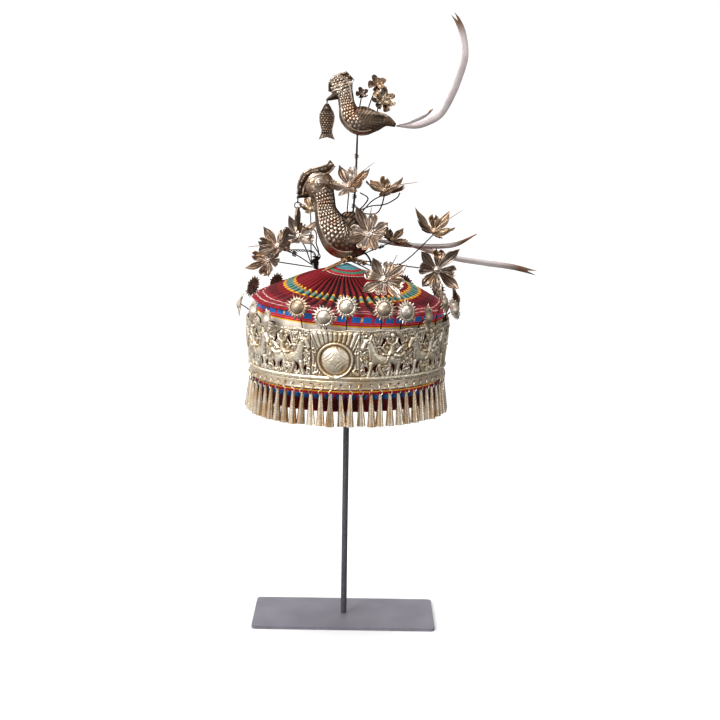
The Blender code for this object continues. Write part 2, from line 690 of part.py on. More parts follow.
def add_stand():
    bm = bmesh.new()
    bmesh.ops.create_cube(bm, size=1.0)
    bmesh.ops.scale(bm, verts=bm.verts, vec=(PLATE_WIDTH, PLATE_DEPTH, PLATE_THICKNESS))
    bmesh.ops.translate(bm, verts=bm.verts, vec=(0, 0, PLATE_THICKNESS / 2))
    upright = [e for e in bm.edges if abs(e.verts[0].co.z - e.verts[1].co.z) > PLATE_THICKNESS / 2]
    bmesh.ops.bevel(bm, geom=upright, offset=PLATE_CORNER, segments=3, profile=0.5, affect="EDGES")
    mesh = bpy.data.meshes.new("stand_plate")
    bm.to_mesh(mesh)
    bm.free()
    add_part("stand_plate", mesh, "steel")

    rest_foot = rest_underside()
    rod_foot = PLATE_THICKNESS + GAP
    rod_length = rest_foot - GAP - rod_foot
    bm = bmesh.new()
    bmesh.ops.create_cone(bm, cap_ends=True, segments=ROD_SIDES, radius1=ROD_RADIUS, radius2=ROD_RADIUS,
                          depth=rod_length)
    bmesh.ops.translate(bm, verts=bm.verts, vec=(0, 0, rod_foot + rod_length / 2))
    mesh = bpy.data.meshes.new("stand_rod")
    bm.to_mesh(mesh)
    bm.free()
    add_part("stand_rod", mesh, "steel", 40)
    add_part("hat_rest", mesh_from("hat_rest", build_rest), "steel")


def rest_ring(sides=16):
    """Rim of the hidden rest, close under the crown's lining."""
    shift = CROWN_SECTIONS[-1][4] * CROWN_RADIUS
    points = []
    for i in range(sides):
        point = crown_point(REST_RADIUS / CROWN_RADIUS, 360 * i / sides, -CROWN_CLOTH - 2 * GAP)
        turn = 2 * math.pi * i / sides
        points.append(Vector((REST_RADIUS * math.sin(turn) + shift, -REST_RADIUS * math.cos(turn), point.z)))
    return points


def rest_underside():
    return min(point.z for point in rest_ring()) - REST_THICKNESS


def build_rest(bm):
    rim = rest_ring()
    top = ring_of(bm, rim)
    foot = ring_of(bm, [Vector((p.x, p.y, rest_underside())) for p in rim])
    zip_rings(bm, top, foot)
    bm.faces.new(foot)
    fan(bm, top, crown_point(0.0, 0.0, -CROWN_CLOTH - 2 * GAP))


# Rosettes and flowers

def build_star(bm, centre, frame, radius):
    side, rise, facing = frame
    around = 2 * ROSETTE_RAYS
    outline = []
    for i in range(around):
        turn = 2 * math.pi * i / around
        reach = radius * (1.0 if i % 2 else RAY_ROOT)
        outline.append(centre + reach * (math.cos(turn) * side + math.sin(turn) * rise))
    edge = ring_of(bm, outline)
    rings = [edge]
    for share, height in ROSETTE_SECTIONS:
        turns = [2 * math.pi * i / ROSETTE_RAYS for i in range(ROSETTE_RAYS)]
        rings.append(ring_of(bm, [centre + radius * (share * (math.cos(t) * side + math.sin(t) * rise)
                                                     + height * facing) for t in turns]))
    for outer, inner in zip(rings, rings[1:]):
        zip_rings(bm, outer, inner)
    fan(bm, rings[-1], centre + facing * radius * DOME_HEIGHT)
    fan(bm, edge, centre - facing * SHEET)


def add_rosettes():
    top = STRIP_HEIGHT + GAP + BAND_HEIGHT
    rim = band_radius(top)
    for i, values in enumerate(ROSETTES):
        row = dict(zip(ROSETTE_COLUMNS, values))
        name = f"rosette_{i + 1:02d}"
        centre = on_hat(row["angle"], rim + row["out"] * ROSETTE_RADIUS, top + row["up"] * ROSETTE_RADIUS)
        turn = math.radians(row["angle"] + row["turn"])
        nod = math.radians(row["nod"])
        facing = Vector((math.sin(turn) * math.cos(nod), -math.cos(turn) * math.cos(nod), math.sin(nod)))
        frame = frame_of(facing, 0)
        rosette = add_part(name, mesh_from(name, lambda bm: build_star(bm, centre, frame, ROSETTE_RADIUS)),
                           "silver", 30)
        seat_level = top - 5 * WIRE_RADIUS
        seat_radius = band_radius(seat_level) * math.cos(math.pi / BAND_SIDES) - SILVER - GAP - WIRE_RADIUS
        seat = on_hat(row["angle"], seat_radius, seat_level)
        bend = on_hat(row["angle"], seat_radius, top + 3 * WIRE_RADIUS)
        stem = wire_mesh(name + "_stem", [seat, bend, centre + facing * SINK], WIRE_RADIUS)
        combine(rosette, add_cutter(name + "_stem", stem), "UNION")


def build_petals(bm, centre, frame, radius, petals, cup):
    """Pointed petals round a small hub: each is a thin leaf, thickest along its middle."""
    side, rise, facing = frame
    hub = HUB_SHARE * radius
    turns = [2 * math.pi * i / petals for i in range(petals)]

    def spot(turn, reach, height):
        return centre + reach * (math.cos(turn) * side + math.sin(turn) * rise) + height * facing

    upper = ring_of(bm, [spot(t, hub, SHEET / 2) for t in turns])
    lower = ring_of(bm, [spot(t, hub, -SHEET / 2) for t in turns])
    fan(bm, upper, spot(0, 0, 2 * SHEET))
    bm.faces.new(lower)
    half = math.pi / petals
    for i in range(petals):
        middle = turns[i] + half
        after = (i + 1) % petals
        reach, width, length = PETAL_SHAPES[i % 2]
        spread = half * width
        left = bm.verts.new(spot(middle - spread, reach * radius, cup * radius * reach ** 2))
        right = bm.verts.new(spot(middle + spread, reach * radius, cup * radius * reach ** 2))
        tip = bm.verts.new(spot(middle, radius * length, cup * radius * length ** 2))
        chord = (RIB_SHARE * radius - hub) / (reach * radius * math.cos(spread) - hub)
        rib = bm.verts.new(spot(middle, RIB_SHARE * radius, cup * radius * reach ** 2 * chord + SHEET))
        rim = (upper[after], right, tip, left, upper[i])
        for a, b in zip(rim, rim[1:]):
            bm.faces.new((a, b, rib))
        bm.faces.new((upper[i], upper[after], rib))
        bm.faces.new((lower[i], lower[after], right, left))
        bm.faces.new((left, right, tip))
        bm.faces.new((upper[after], lower[after], right))
        bm.faces.new((upper[i], lower[i], left))


def add_blossom(name, centre, facing, turn, radius, petals, cup, route, finish):
    frame = frame_of(facing, turn)
    mesh = mesh_from(name, lambda bm: build_petals(bm, centre, frame, radius, petals, cup))
    flower = add_part(name, mesh, finish)
    stem = wire_mesh(name + "_stem", route, WIRE_RADIUS)
    combine(flower, add_cutter(name + "_stem", stem), "UNION")


def knot_seat(holder, towards, level):
    """Where a wire ends at the upright knot or coil that holds it, and where it leads first."""
    base, radius, height = holder
    direction = Vector((towards.x - base.x, towards.y - base.y, 0)).normalized()
    seat = base + direction * (radius + GAP) + Vector((0, 0, height * level))
    return seat, seat + direction * 5 * WIRE_RADIUS


def back_seat(bird, along):
    """Where a wire stands on a bird's back, at a share of its height along it."""
    origin, height, tree = bird
    above = bird_point(origin, height, along, 2.0)
    hit = tree.ray_cast(above, Vector((0, 0, -1)))[0]
    seat = hit + Vector((0, 0, GAP + WIRE_RADIUS / 2))
    return seat, seat + Vector((0, 0, 5 * WIRE_RADIUS))


def add_on_wire(name, centre, seat, out, lift, facing, turn, radius, petals, cup, finish):
    """A flower whose wire runs from its seat in a low arch to the flower's back."""
    facing = Vector(facing).normalized()
    behind = centre - facing * 6 * WIRE_RADIUS
    halfway = out.lerp(behind, 0.5) + Vector((0, 0, lift))
    route = [seat, out, halfway, behind, centre + facing * SHEET / 2]
    add_blossom(name, centre, facing, turn, radius, petals, cup, route, finish)


def add_flowers(holders, bird):
    for i, values in enumerate(FLOWERS):
        row = dict(zip(FLOWER_COLUMNS, values))
        centre = Vector((row["x"] * CROWN_RADIUS, row["y"] * CROWN_RADIUS,
                         crown_top() + row["z"] * LOWER_BIRD))
        if row["holder"] in holders:
            seat, out = knot_seat(holders[row["holder"]], centre, row["seat"])
        else:
            seat, out = back_seat(bird, row["seat"])
        add_on_wire(f"flower_{i + 1:02d}", centre, seat, out, row["lift"] * CROWN_RADIUS, row["face"],
                    row["turn"], FLOWER_RADIUS * row["size"], PETALS, row["cup"], "silver")


# Birds

def bird_point(origin, height, along, up, side=0.0):
    return origin + Vector((along * height, side * height, up * height))


def bird_rings(origin, height, sections):
    """Rings of points from tail to crown of the head."""
    rows = [dict(zip(BIRD_COLUMNS, values)) for values in sections]
    centres = [bird_point(origin, height, row["along"], row["up"]) for row in rows]
    apothem = math.cos(math.pi / BIRD_SIDES)
    rings = []
    for i, row in enumerate(rows):
        ahead = centres[min(i + 1, len(rows) - 1)] - centres[max(i - 1, 0)]
        across = Vector((-ahead.z, 0, ahead.x)).normalized()
        points = []
        for j in range(BIRD_SIDES):
            turn = 2 * math.pi * (j + 0.5) / BIRD_SIDES
            points.append(centres[i] + across * row["half_height"] * height * math.cos(turn) / apothem
                          + Vector((0, row["half_width"] * height * math.sin(turn), 0)))
        rings.append(points)
    return rings


def belly_drop(height, sections):
    """Lowest point of a bird's body against its own origin."""
    return min(point.z for ring in bird_rings(Vector(), height, sections) for point in ring)


def build_bird(bm, origin, height, sections):
    rings = [ring_of(bm, points) for points in bird_rings(origin, height, sections)]
    for a, b in zip(rings, rings[1:]):
        zip_rings(bm, a, b)
    bm.faces.new(rings[0])
    bm.faces.new(rings[-1])


def build_plate(bm, points, halves):
    add_prism(bm, [p - Vector((0, half, 0)) for p, half in zip(points, halves)],
              [p + Vector((0, half, 0)) for p, half in zip(points, halves)])


def add_bird(name, origin, height, sections, beak, crest, finish):
    bird = add_part(name, mesh_from(name, lambda bm: build_bird(bm, origin, height, sections)), finish, 40)
    thickness = {"beak": (BEAK_ROOT, BEAK_TIP, BEAK_TIP, BEAK_ROOT), "crest": (CREST_HALF,) * len(crest)}
    for label, outline in (("beak", beak), ("crest", crest)):
        points = [bird_point(origin, height, along, up) for along, up in outline]
        halves = [share * height for share in thickness[label]]
        plate = mesh_from(name + "_" + label, lambda bm: build_plate(bm, points, halves))
        combine(bird, add_cutter(name + "_" + label, plate), "UNION")
    return bird


def beak_hole(origin, height, beak):
    """Middle of the small hole near the beak's tip, a little above its lower edge."""
    tip, root = Vector(beak[2]), Vector(beak[3])
    spot = tip.lerp(root, BEAK_HOLE_SHARE)
    return bird_point(origin, height, spot.x, spot.y) + Vector((0, 0, HOLE_EDGE))


def drill(part, name, middle, axis, radius, depth):
    bm = bmesh.new()
    bmesh.ops.create_cone(bm, cap_ends=True, segments=6, radius1=radius, radius2=radius, depth=depth)
    turn = Vector((0, 0, 1)).rotation_difference(Vector(axis)).to_matrix()
    bmesh.ops.rotate(bm, verts=bm.verts, cent=(0, 0, 0), matrix=turn)
    bmesh.ops.translate(bm, verts=bm.verts, vec=middle)
    mesh = bpy.data.meshes.new(name)
    bm.to_mesh(mesh)
    bm.free()
    combine(part, add_cutter(name, mesh), "DIFFERENCE")


# Fish, rings, feathers

def build_fish(bm, top, broad, length):
    """Flat fish hanging from its top, broad side along the given direction."""
    down = Vector((0, 0, -1))
    thick = broad.cross(down).normalized() * FISH_THICKNESS / 2
    left = [top + (down * s + broad * w) * length for s, w in FISH_OUTLINE]
    right = [top + (down * s - broad * w) * length for s, w in reversed(FISH_OUTLINE)]
    outline = left + [top + down * FISH_NOTCH * length] + right
    add_prism(bm, [p - thick for p in outline], [p + thick for p in outline])


def add_ring(name, middle, axis):
    """A jump ring: an upright torus round a horizontal axis."""
    bm = bmesh.new()
    upward = Vector((0, 0, 1))
    across = axis.cross(upward)
    sections = []
    for i in range(RING_SIDES):
        turn = 2 * math.pi * i / RING_SIDES
        out = across * math.cos(turn) + upward * math.sin(turn)
        points = []
        for j in range(RING_WIRE_SIDES):
            round_wire = 2 * math.pi * j / RING_WIRE_SIDES
            reach = RING_RADIUS + RING_WIRE * math.cos(round_wire)
            points.append(middle + out * reach + axis * RING_WIRE * math.sin(round_wire))
        sections.append(ring_of(bm, points))
    for a, b in zip(sections, sections[1:] + sections[:1]):
        zip_rings(bm, a, b)
    bmesh.ops.recalc_face_normals(bm, faces=bm.faces)
    mesh = bpy.data.meshes.new(name)
    bm.to_mesh(mesh)
    bm.free()
    add_part(name, mesh, "dark_wire", 60)


def build_feather(bm, start, rows):
    centres = [start + Vector((row["along"], row["side"], row["up"])) * FEATHER_LENGTH for row in rows]
    rings = []
    for i, row in enumerate(rows):
        ahead = centres[min(i + 1, len(rows) - 1)] - centres[max(i - 1, 0)]
        across = Vector((-ahead.z, 0, ahead.x)).normalized()
        half = row["half_width"] * FEATHER_LENGTH
        thick = Vector((0, FEATHER_THICKNESS / 2, 0))
        rings.append(ring_of(bm, [centres[i] + across * half, centres[i] + thick,
                                  centres[i] - across * half, centres[i] - thick]))
    for a, b in zip(rings, rings[1:]):
        zip_rings(bm, a, b)
    bm.faces.new(rings[0])
    bm.faces.new(rings[-1])


def add_upright(name, base, radius, height, finish):
    bm = bmesh.new()
    bmesh.ops.create_cone(bm, cap_ends=True, segments=10, radius1=radius, radius2=radius * 0.8, depth=height)
    bmesh.ops.translate(bm, verts=bm.verts, vec=base + Vector((0, 0, height / 2)))
    mesh = bpy.data.meshes.new(name)
    bm.to_mesh(mesh)
    bm.free()
    add_part(name, mesh, finish, 40)
    return base, radius, height


def add_holders(crown):
    """The knot on the apex and the coil at the left, both standing on the cloth."""
    down = Vector((0, 0, -1))
    tree = surface_of(crown)
    apex = crown_point(0.0, 0.0)
    spot = Vector((COIL_PLACE[0] * CROWN_RADIUS, COIL_PLACE[1] * CROWN_RADIUS, 2 * apex.z))
    marks = []
    for i in range(8):
        turn = i * math.pi / 4
        above = spot + COIL_RADIUS * Vector((math.cos(turn), math.sin(turn), 0))
        marks.append(tree.ray_cast(above, down)[0].z)
    coil_base = Vector((spot.x, spot.y, max(marks) + GAP))
    knot_base = apex + Vector((0, 0, GAP))
    return {
        "apex_knot": add_upright("apex_knot", knot_base, KNOT_RADIUS, KNOT_HEIGHT, "dark_wire"),
        "left_coil": add_upright("left_coil", coil_base, COIL_RADIUS, COIL_HEIGHT, "dark_wire"),
    }


def add_post(lower, upper):
    """The wire post between the lower bird's back and the upper bird's belly."""
    origin, height, tree = lower
    back = tree.ray_cast(bird_point(origin, height, POST_SEAT, 2.0), Vector((0, 0, -1)))[0]
    foot = back + Vector((0, 0, GAP + POST_RADIUS / 2))
    origin, height, tree = upper
    belly = tree.ray_cast(bird_point(origin, height, 0.0, -1.0), Vector((0, 0, 1)))[0]
    top = belly - Vector((0, 0, GAP + POST_RADIUS / 4))
    bend = foot.lerp(top, 0.4) + Vector((POST_RADIUS, 0, 0))
    mesh = wire_mesh("bird_post", smooth_route([foot, bend, top], 3), POST_RADIUS, 1)
    add_part("bird_post", mesh, "dark_wire", 60)


def hang_fish(name, hole, broad, rings, length):
    """A fish on one or two jump rings that hang from a hole."""
    axes = (Vector((1, 0, 0)), Vector((0, 1, 0)))
    spot = hole
    for i, ring in enumerate(rings):
        centre = spot - Vector((0, 0, RING_RADIUS))
        add_ring(ring, centre, axes[i])
        last = i == len(rings) - 1
        spot = centre - Vector((0, 0, RING_RADIUS - (0 if last else 2 * RING_WIRE + GAP)))
    top = spot + Vector((0, 0, HOLE_EDGE))
    fish = add_part(name, mesh_from(name, lambda bm: build_fish(bm, top, broad, length)), "bronze")
    drill(fish, name + "_hole", spot, broad.cross(Vector((0, 0, 1))), HOLE_RADIUS, 4 * FISH_THICKNESS)


def add_birds(knot):
    """Both birds with the post, fish, feathers and small pieces that they carry."""
    base, _, knot_height = knot
    lower_origin = base + Vector((LOWER_BIRD_SHIFT * LOWER_BIRD, 0,
                                  knot_height + GAP - belly_drop(LOWER_BIRD, LOWER_BIRD_SECTIONS)))
    upper_origin = lower_origin + Vector((UPPER_BIRD_SHIFT * LOWER_BIRD, 0,
                                          LOWER_BIRD * BACK_SHARE + POST_LENGTH))
    birds = {}
    for name, origin, height, sections, beak, crest in (
            ("bird_lower", lower_origin, LOWER_BIRD, LOWER_BIRD_SECTIONS, LOWER_BEAK, LOWER_CREST),
            ("bird_upper", upper_origin, UPPER_BIRD, UPPER_BIRD_SECTIONS, UPPER_BEAK, UPPER_CREST)):
        bird = add_bird(name, origin, height, sections, beak, crest, "bronze")
        birds[name] = (origin, height, surface_of(bird))
        drill(bird, name + "_hole", beak_hole(origin, height, beak), (0, 1, 0), HOLE_RADIUS, height)
    add_post(birds["bird_lower"], birds["bird_upper"])
    lower_hole = beak_hole(lower_origin, LOWER_BIRD, LOWER_BEAK)
    upper_hole = beak_hole(upper_origin, UPPER_BIRD, UPPER_BEAK)
    fish_turn = math.radians(LOWER_FISH_TURN)
    hang_fish("fish_lower", lower_hole, Vector((math.sin(fish_turn), math.cos(fish_turn), 0)),
              ("ring_lower_a", "ring_lower_b"), LOWER_FISH)
    hang_fish("fish_upper", upper_hole, Vector((1, 0, 0)), ("ring_upper",), UPPER_FISH)
    tails = {"bird_lower": bird_point(lower_origin, LOWER_BIRD, *LOWER_BIRD_SECTIONS[0][:2]),
             "bird_upper": bird_point(upper_origin, UPPER_BIRD, *UPPER_BIRD_SECTIONS[0][:2])}
    for name, bird_name, table in FEATHER_TAILS:
        rows = [dict(zip(FEATHER_COLUMNS, values)) for values in table]
        start = tails[bird_name] + Vector((2 * GAP, 0, 0))
        add_part(name, mesh_from(name, lambda bm: build_feather(bm, start, rows)), "pale_silver")
    for values in SMALL_PIECES:
        row = dict(zip(SMALL_COLUMNS, values))
        centre = bird_point(upper_origin, UPPER_BIRD, row["along"], row["up"], row["side"])
        seat, out = back_seat(birds["bird_upper"], row["seat"])
        add_on_wire(row["name"], centre, seat, out, 0.0, row["face"], 0, FLOWER_RADIUS * row["size"],
                    row["petals"], row["cup"], "silver")
    return birds


PARTS, CUTTERS = clear_scene()

add_stand()
crown = add_part("crown", mesh_from("crown", build_crown), "cloth")
add_part("side_wall", mesh_from("side_wall", build_wall), "cloth")
add_band()
add_fringe()
add_rosettes()
holders = add_holders(crown)
birds = add_birds(holders["apex_knot"])
add_flowers(holders, birds["bird_lower"])
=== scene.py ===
# %% [markdown]
# # A festival hat on its stand
#
# The hat is pleated cloth with a pierced silver band, a fringe of rolled cones and a garden of
# silver flowers and birds on springy wires. This lesson dresses the plain solids of that hat.
# Each piece is worked out from a few sizes, and it stands where its solid stands.

# %% Load the solids
import math

import bpy
import numpy as np
from mathutils import Matrix, Vector
from mathutils.bvhtree import BVHTree


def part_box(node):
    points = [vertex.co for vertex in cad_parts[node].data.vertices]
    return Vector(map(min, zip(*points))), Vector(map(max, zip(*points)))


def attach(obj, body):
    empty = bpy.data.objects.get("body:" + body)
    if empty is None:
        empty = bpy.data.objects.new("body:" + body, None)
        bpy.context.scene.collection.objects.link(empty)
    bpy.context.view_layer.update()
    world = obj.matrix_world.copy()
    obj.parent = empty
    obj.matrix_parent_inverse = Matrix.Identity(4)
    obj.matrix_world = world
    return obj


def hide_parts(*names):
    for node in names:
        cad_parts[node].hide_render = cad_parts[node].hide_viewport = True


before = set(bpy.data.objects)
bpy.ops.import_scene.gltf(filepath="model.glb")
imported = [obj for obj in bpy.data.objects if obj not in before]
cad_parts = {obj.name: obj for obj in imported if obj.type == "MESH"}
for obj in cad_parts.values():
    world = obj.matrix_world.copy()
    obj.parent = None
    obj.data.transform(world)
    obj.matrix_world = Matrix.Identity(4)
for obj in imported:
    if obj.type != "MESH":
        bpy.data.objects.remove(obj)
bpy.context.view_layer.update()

# %% [markdown]
# ## Sizes that the pieces share
#
# The silver band gives most of them. Its foot and height are read from its solid, so the cloth,
# the fringe and the rosettes all follow it. The other sizes are the real hat's.

# %% Sizes in metres
MM = 0.001
BAND_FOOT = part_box("band")[0].z
BAND_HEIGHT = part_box("band")[1].z - BAND_FOOT
STRIP_HEIGHT = 8.0 * MM
STRIP_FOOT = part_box("cone_fringe_front")[1].z - STRIP_HEIGHT
STRIP_RADIUS = 93.2 * MM
BAND_FLARE = 3.5 * MM
SLOTS = 13
SLOT_WIDTH = 2 * math.pi * (STRIP_RADIUS + BAND_FLARE / 2) / SLOTS
MEDALLION_ANGLE = -6.0
CROWN_RADIUS = 94.2 * MM
CROWN_EDGE = STRIP_FOOT + 70.5 * MM
CROWN_RISE = 36 * MM
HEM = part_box("side_wall")[0].z
WALL_RADIUS = 91.5 * MM
print("band foot", round(BAND_FOOT, 4), "height", round(BAND_HEIGHT, 4), "hem", round(HEM, 4))

# %% [markdown]
# ## Camera first
#
# The picture looks a little down on the hat from about 1.3 m, through a short telephoto lens.
# It is rolled by just under a degree, which is why the rod leans in it.

# %% Camera
CAMERA_PLACE = (0.0125, -1.28, 0.4795)
CAMERA_DOWN = math.atan2(0.22, 1.28)
CAMERA_ROLL = math.radians(0.9)
lens = bpy.data.cameras.new("camera")
lens.lens = 67
lens.sensor_width = 36
camera = bpy.data.objects.new("camera", lens)
bpy.context.scene.collection.objects.link(camera)
tilt = Matrix.Rotation(math.pi / 2 - CAMERA_DOWN, 4, "X") @ Matrix.Rotation(CAMERA_ROLL, 4, "Z")
camera.matrix_world = Matrix.Translation(CAMERA_PLACE) @ tilt
bpy.context.scene.camera = camera
print("camera at", CAMERA_PLACE, "lens", lens.lens, "mm")

# %% [markdown]
# ## Bending curves and placing points
#
# A few small tools serve every piece: a point at an angle round the hat, a soft step between two
# values, a smooth curve through a few known ones, and a bell and a dome for raised lines. All take
# whole arrays at once, because a fine surface has tens of thousands of points. A table of pieces
# gets names for its columns, so that each value in a row is read by name.


# %% Points and curves
def around(angle, radius, z):
    """Points at an angle in degrees round the hat, 0 at the front and growing towards +X."""
    turn = np.radians(angle)
    return np.stack(np.broadcast_arrays(radius * np.sin(turn), -radius * np.cos(turn), z), axis=-1)


def ease(low, high, value):
    share = np.clip((value - low) / (high - low), 0, 1)
    return share * share * (3 - 2 * share)


def through(value, places, heights):
    """A smooth curve through known heights, read at any value between the first and last place."""
    places, heights = np.asarray(places, float), np.asarray(heights, float)
    slopes = np.gradient(heights, places)
    span = np.clip(np.searchsorted(places, value, side="right") - 1, 0, len(places) - 2)
    width = places[span + 1] - places[span]
    t = np.clip((value - places[span]) / width, 0, 1)
    rise = heights[span + 1] - heights[span]
    start, end = slopes[span] * width, slopes[span + 1] * width
    return (heights[span] + start * t + (3 * rise - 2 * start - end) * t ** 2
            + (start + end - 2 * rise) * t ** 3)


def smooth_route(points, count, start=0.0, stop=1.0):
    """Evenly numbered rows along a smooth curve through the rows of a table."""
    table = np.asarray(points, float)
    place = np.linspace(start, stop, count) * (len(table) - 1)
    return np.stack([through(place, np.arange(len(table)), column) for column in table.T], axis=-1)


def bell(value, width):
    """1 where the value is nought, and fading to 0 past about one width."""
    return np.exp(-(value / width) ** 2)


def dome(away, reach):
    """The height of a half round of a given reach, 1 at its middle and 0 outside it."""
    return np.sqrt(np.clip(1 - (away / reach) ** 2, 0, 1))


def records(columns, rows):
    """The rows of a table with their columns named."""
    return [dict(zip(columns, row)) for row in rows]


print("front of the band:", around(0, STRIP_RADIUS, BAND_FOOT).round(4))

# %% [markdown]
# ## Sheets and wires
#
# Nearly everything here is either a thin sheet or a wire. A sheet is two grids of points, its
# outer and its inner face, joined round the rim, so it is always a closed body. A wire is a tube
# swept along a route. Both give plain lists of points and faces, and a heap gathers many of
# them into one mesh. A modifier could thicken each sheet, but then every cone and petal would
# need one of its own.


# %% Sheets and wires
def grid_faces(rows, columns, start, closed, flip=False):
    across = columns if closed else columns - 1
    row, column = np.meshgrid(np.arange(rows - 1), np.arange(across), indexing="ij")
    after = (column + 1) % columns
    corners = [row * columns + column, row * columns + after,
               (row + 1) * columns + after, (row + 1) * columns + column]
    faces = np.stack(corners, axis=-1).reshape(-1, 4) + start
    return faces[:, ::-1] if flip else faces


def rim_faces(first, second, closed):
    """Faces between two rows of point numbers."""
    first, second = np.asarray(first), np.asarray(second)
    if closed:
        first, second = np.append(first, first[0]), np.append(second, second[0])
    return np.stack([first[:-1], first[1:], second[1:], second[:-1]], axis=-1)


def sheet_body(outer, inner, closed=False):
    """A closed thin body from its outer and inner face, both arrays of rows by columns."""
    rows, columns = outer.shape[:2]
    count = rows * columns
    number = np.arange(count).reshape(rows, columns)
    faces = [grid_faces(rows, columns, 0, closed), grid_faces(rows, columns, count, closed, True),
             rim_faces(number[0] + count, number[0], closed),
             rim_faces(number[-1], number[-1] + count, closed)]
    if not closed:
        faces.append(rim_faces(number[:, 0], number[:, 0] + count, False))
        faces.append(rim_faces(number[:, -1] + count, number[:, -1], False))
    return np.concatenate([outer.reshape(-1, 3), inner.reshape(-1, 3)]), np.concatenate(faces)


def marked_sheet(outer, inner, hollow, back=None, closed=False):
    """A sheet and how hollow each point is; its back has one value, or those of its front."""
    front = np.broadcast_to(hollow, outer.shape[:2])
    behind = front if back is None else np.full(front.shape, back)
    return sheet_body(outer, inner, closed), np.concatenate([front.ravel(), behind.ravel()])


def capped(rings, first_end, last_end):
    """A closed body of rings of points, with a fan of triangles round a middle point at each end."""
    rows, sides = rings.shape[:2]
    count = rows * sides
    ring = np.arange(sides)
    after = (ring + 1) % sides
    first = np.stack([ring, after, np.full(sides, count)], axis=-1)
    last = np.stack([after, ring, np.full(sides, sides + 1)], axis=-1) + count - sides
    points = np.concatenate([rings.reshape(-1, 3), [first_end, last_end]])
    return points, [*grid_faces(rows, sides, 0, True, True), *first, *last]


def unit(vectors):
    return vectors / np.maximum(np.linalg.norm(vectors, axis=-1, keepdims=True), 1e-12)


def frames_along(route):
    """Two directions across a route at each of its points, turning as little as they can."""
    ahead = unit(np.gradient(route, axis=0))
    side = np.cross(ahead[0], (0.0, 0.0, 1.0))
    if np.linalg.norm(side) < 0.1:
        side = np.cross(ahead[0], (0.0, 1.0, 0.0))
    sides = []
    for direction in ahead:
        side = side - direction * np.dot(side, direction)
        side = side / np.linalg.norm(side)
        sides.append(side)
    sides = np.array(sides)
    return sides, np.cross(ahead, sides)


def tube(route, radius, sides=6):
    """A closed tube along a route; radius is one number or one for each point."""
    route = np.asarray(route, float)
    side, rise = frames_along(route)
    turn = np.linspace(0, 2 * np.pi, sides, endpoint=False)[None, :, None]
    reach = np.broadcast_to(radius, len(route))[:, None, None]
    rings = route[:, None] + reach * (np.cos(turn) * side[:, None] + np.sin(turn) * rise[:, None])
    return capped(rings, route[0], route[-1])


def twisted(route, radius, pitch=2.6 * MM, strands=2, thin=0.92):
    """Thin wires wound round each other along a route; each one's radius is a share of the twist's."""
    route = np.asarray(route, float)
    length = np.concatenate([[0], np.cumsum(np.linalg.norm(np.diff(route, axis=0), axis=1))])
    count = max(8, int(length[-1] / pitch * 6))
    even = np.linspace(0, length[-1], count)
    line = np.stack([np.interp(even, length, route[:, axis]) for axis in range(3)], axis=-1)
    side, rise = frames_along(line)
    bodies = []
    for strand in range(strands):
        turn = (2 * np.pi * (even / pitch + strand / strands))[:, None]
        taper = np.sin(np.pi * np.clip(even / length[-1], 0.04, 0.96))[:, None] ** 0.2
        offset = radius * taper * (np.cos(turn) * side + np.sin(turn) * rise)
        bodies.append(tube(line + offset, radius * thin, 5))
    return bodies


print("faces of a short six-sided wire:", len(tube([(0, 0, 0), (0, 0, 1)], 0.1)[1]))

# %% Heaps and pieces
class Heap:
    """Gathers shapes into one mesh, each with a tint, its hollows from 0 to 1 and its finish."""

    def __init__(self):
        self.points, self.faces, self.hollows, self.tints, self.finishes = [], [], [], [], []
        self.count = 0

    def add(self, body, hollow=0.0, tint=0.5, finish=0):
        points, faces = body
        self.points.append(points)
        self.faces.extend([tuple(int(n) + self.count for n in face) for face in faces])
        self.hollows.append(np.broadcast_to(hollow, len(points)).astype(float))
        self.tints.append(np.broadcast_to(tint, len(points)).astype(float))
        self.finishes.extend([finish] * len(faces))
        self.count += len(points)

    def add_all(self, bodies, hollow=0.0, tint=0.5, finish=0):
        for body in bodies:
            self.add(body, hollow, tint, finish)


def mark(mesh, name, values):
    """Gives every point of a mesh a number that its finish can read."""
    layer = mesh.attributes.new(name, "FLOAT", "POINT")
    layer.data.foreach_set("value", np.asarray(values, np.float32).ravel())


def finish_piece(name, heap, materials, replaces=(), smooth_angle=50):
    """Turns a heap into a piece that rides with the hat and stands for some solids."""
    mesh = bpy.data.meshes.new(name)
    mesh.from_pydata(np.concatenate(heap.points).tolist(), [], heap.faces)
    mark(mesh, "hollow", np.concatenate(heap.hollows))
    mark(mesh, "tint", np.concatenate(heap.tints))
    for material in materials:
        mesh.materials.append(material)
    mesh.polygons.foreach_set("material_index", heap.finishes)
    mesh.shade_smooth()
    mesh.set_sharp_from_angle(angle=math.radians(smooth_angle))
    piece = bpy.data.objects.new(name, mesh)
    bpy.context.scene.collection.objects.link(piece)
    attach(piece, "root")
    if replaces:
        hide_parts(*replaces)
    print(name, "points:", len(mesh.vertices), "faces:", len(mesh.polygons))
    return piece


# %% [markdown]
# ## Finishes
#
# Every surface gets its colour, gloss and fine relief from noises, so nothing needs a picture
# file. The helper below strings the usual nodes together, and each finish then reads as a short
# recipe. Marks that the pieces carry, such as how hollow a spot is, drive dirt and tarnish,
# which would be hard to place with noise alone.


# %% A helper for finishes
def dye(red, green, blue):
    """A colour as it looks on a screen, 0 to 255 each, as the linear colour that shaders use."""
    return tuple((c / 255 / 12.92 if c < 10 else ((c / 255 + 0.055) / 1.055) ** 2.4)
                 for c in (red, green, blue)) + (1.0,)


